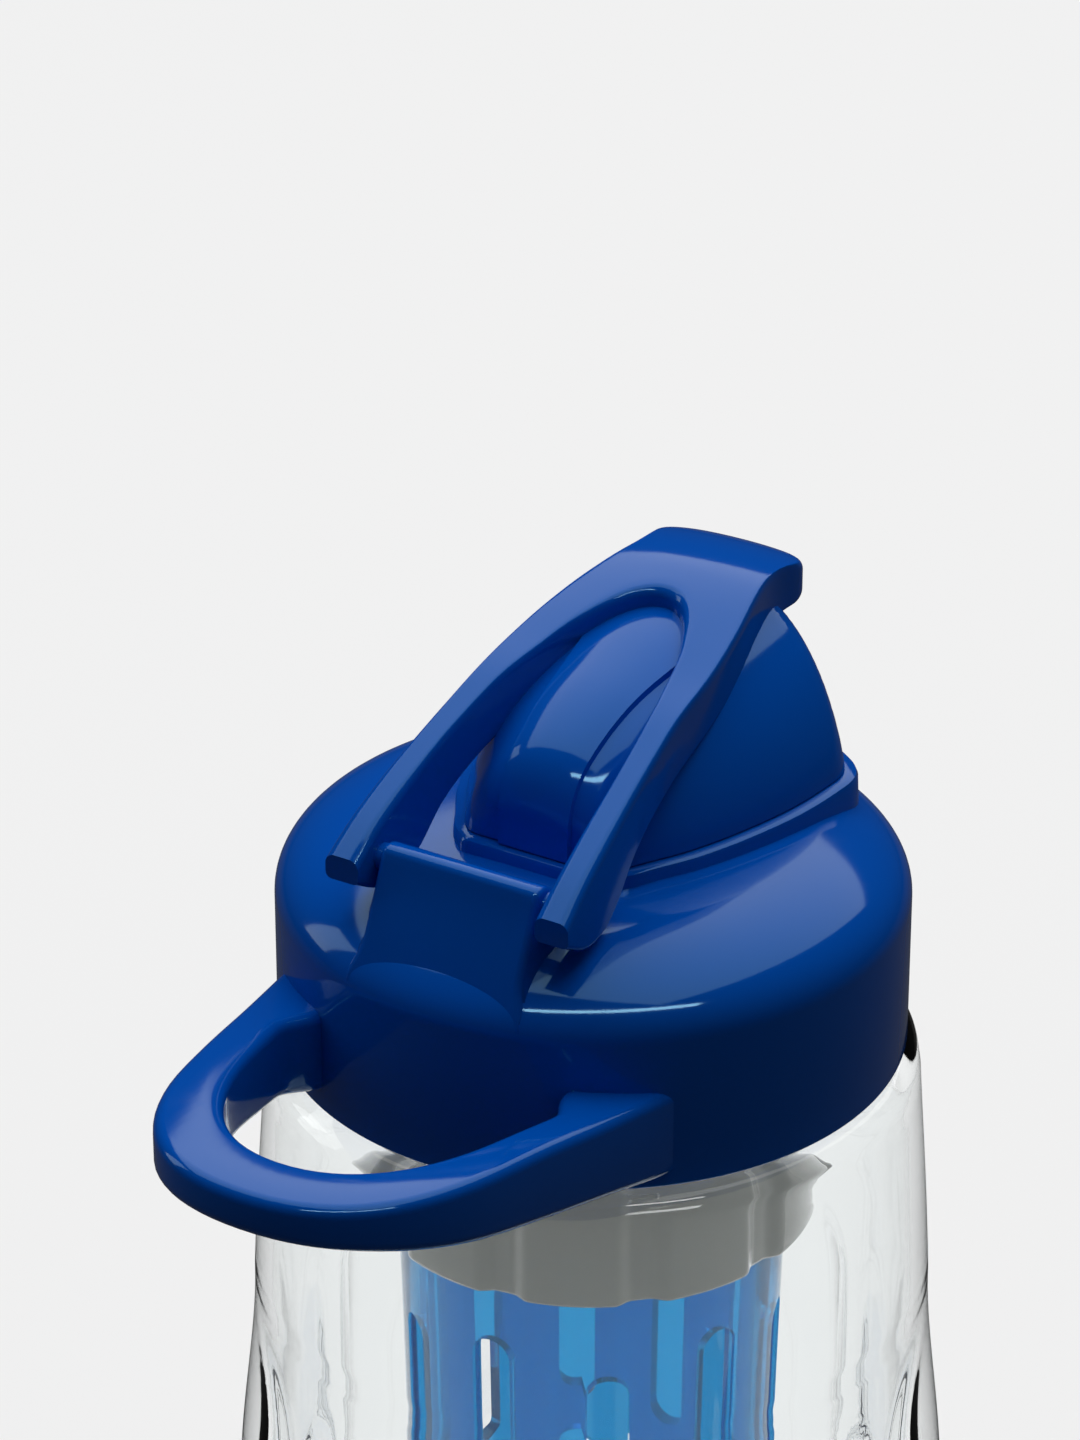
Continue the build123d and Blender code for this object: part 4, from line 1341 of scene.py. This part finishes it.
# ---------------------------------------------------------------- set and camera
@dataclass
class Studio:
    """Pale floor and backdrop, soft lamps and the camera."""

    backdrop: str = "#EFEFEF"
    camera_place: tuple[float, float, float] = (0.2635, -0.4426, 0.4957)
    heading: float = 31.40
    pitch: float = 27.73
    lens: float = 138.45

    def seen(self, tree: bpy.types.NodeTree) -> bpy.types.NodeSocket:
        """Return 1 for what the eye sees, straight or through clear plastic."""
        path = add_node(tree, "ShaderNodeLightPath")
        through = add_node(
            tree,
            "ShaderNodeMath",
            {0: path.outputs["Transmission Depth"], 1: 0.5},
            operation="GREATER_THAN",
        )
        return add_node(
            tree,
            "ShaderNodeMath",
            {0: path.outputs["Is Camera Ray"], 1: through.outputs[0]},
            operation="MAXIMUM",
        ).outputs[0]

    def floor(self) -> None:
        """Lay the floor: pale to the eye with the bottle's shadow on it."""
        bm = bmesh.new()
        bmesh.ops.create_grid(bm, x_segments=1, y_segments=1, size=4.0)
        mesh = bpy.data.meshes.new("floor")
        bm.to_mesh(mesh)
        bm.free()
        material = bpy.data.materials.new("pale_paper")
        tree = blank_tree(material)
        seen = self.seen(tree)
        shade = add_node(tree, "ShaderNodeMapRange", {"Value": seen, "To Min": 0.08, "To Max": 0.7})
        paper = add_node(tree, "ShaderNodeBsdfDiffuse", {"Color": shade.outputs[0]})
        plain = add_node(
            tree, "ShaderNodeEmission", {"Color": linear(self.backdrop), "Strength": 1.12}
        )
        share = add_node(tree, "ShaderNodeMath", {0: seen, 1: 0.8}, operation="MULTIPLY")
        both = add_node(
            tree,
            "ShaderNodeMixShader",
            {0: share.outputs[0], 1: paper.outputs[0], 2: plain.outputs[0]},
        )
        add_node(tree, "ShaderNodeOutputMaterial", {"Surface": both.outputs[0]})
        mesh.materials.append(material)
        floor = add_object("floor", mesh)

    def sky(self) -> None:
        """Show the backdrop to the eye; the room is dim in reflections and gives a low fill."""
        world = bpy.data.worlds.new("studio")
        bpy.context.scene.world = world
        tree = blank_tree(world)
        path = add_node(tree, "ShaderNodeLightPath")
        shown = add_node(
            tree, "ShaderNodeBackground", {"Color": linear(self.backdrop), "Strength": 1.0}
        )
        fill = add_node(
            tree, "ShaderNodeBackground", {"Color": linear("#DDE2EA"), "Strength": 0.1}
        )
        dim = add_node(
            tree, "ShaderNodeBackground", {"Color": linear("#DDE2EA"), "Strength": 0.03}
        )
        room = add_node(
            tree,
            "ShaderNodeMixShader",
            {0: path.outputs["Is Glossy Ray"], 1: fill.outputs[0], 2: dim.outputs[0]},
        )
        both = add_node(
            tree,
            "ShaderNodeMixShader",
            {0: self.seen(tree), 1: room.outputs[0], 2: shown.outputs[0]},
        )
        add_node(tree, "ShaderNodeOutputWorld", {"Surface": both.outputs[0]})

    def lamp(
        self,
        name: str,
        place: tuple[float, float, float],
        size: tuple[float, float],
        power: float,
        target: tuple[float, float, float] = (0.0, 0.0, 0.2),
    ) -> bpy.types.Object:
        """Hang a softbox.

        Args:
            name: Name of the lamp.
            place: Where it hangs.
            size: Width and height.
            power: Power in watts.
            target: Point that it faces.

        Returns:
            The lamp.
        """
        light = bpy.data.lights.new(name, "AREA")
        light.shape = "RECTANGLE"
        light.size, light.size_y = size
        light.energy = power
        lamp = add_object(name, light)
        aim = Vector(target) - Vector(place)
        lamp.location = place
        lamp.rotation_euler = aim.to_track_quat("-Z", "Y").to_euler()
        return lamp

    def camera(self) -> None:
        """Set the camera up."""
        data = bpy.data.cameras.new("camera")
        data.sensor_fit = "VERTICAL"
        data.sensor_height = 36.0
        data.lens = self.lens
        data.clip_start = 0.01
        data.clip_end = 50.0
        camera = add_object("camera", data)
        camera.location = self.camera_place
        camera.rotation_euler = (math.radians(90 - self.pitch), 0, math.radians(self.heading))
        bpy.context.scene.camera = camera

    def build(self) -> None:
        """Set the stage."""
        self.floor()
        self.sky()
        self.lamp("overhead", (-0.25, 0.68, 1.1), (1.5, 1.85), 14.0, (-0.25, 0.681, 0.0))
        self.lamp("left", (-1.1, -0.2, 0.6), (0.3, 0.6), 1.0)
        strip = self.lamp("strip", (0.52, -0.64, 1.4), (1.3, 0.12), 7.0)
        strip.visible_diffuse = False
        self.camera()
        view = bpy.context.scene.view_settings
        view.view_transform = "Standard"


def dress_nodes(nodes: dict[str, bpy.types.Object]) -> None:
    """Give the kept nodes their finishes.

    Args:
        nodes: Packed nodes by name.
    """
    for name, (finish, slot) in NODE_FINISHES.items():
        node = nodes[name]
        node.data.materials.clear()
        node.data.materials.append(finish.material())
        LOG.info("%s: dressed as %s", name, finish.name)


def main() -> None:
    """Dress the bottle and set the stage."""
    logging.basicConfig(level=logging.INFO, format="%(name)s: %(message)s")
    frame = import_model()
    dress_nodes(frame["nodes"])
    builders: list[Callable[[], None]] = [
        ClearBottle().build,
        ScrewLid().build,
        FlipCover().build,
        Mouthpiece().build,
        CouplingRing().build,
        Basket().build,
        Studio().build,
    ]
    for build in builders:
        build()


if __name__ == "__main__":
    main()
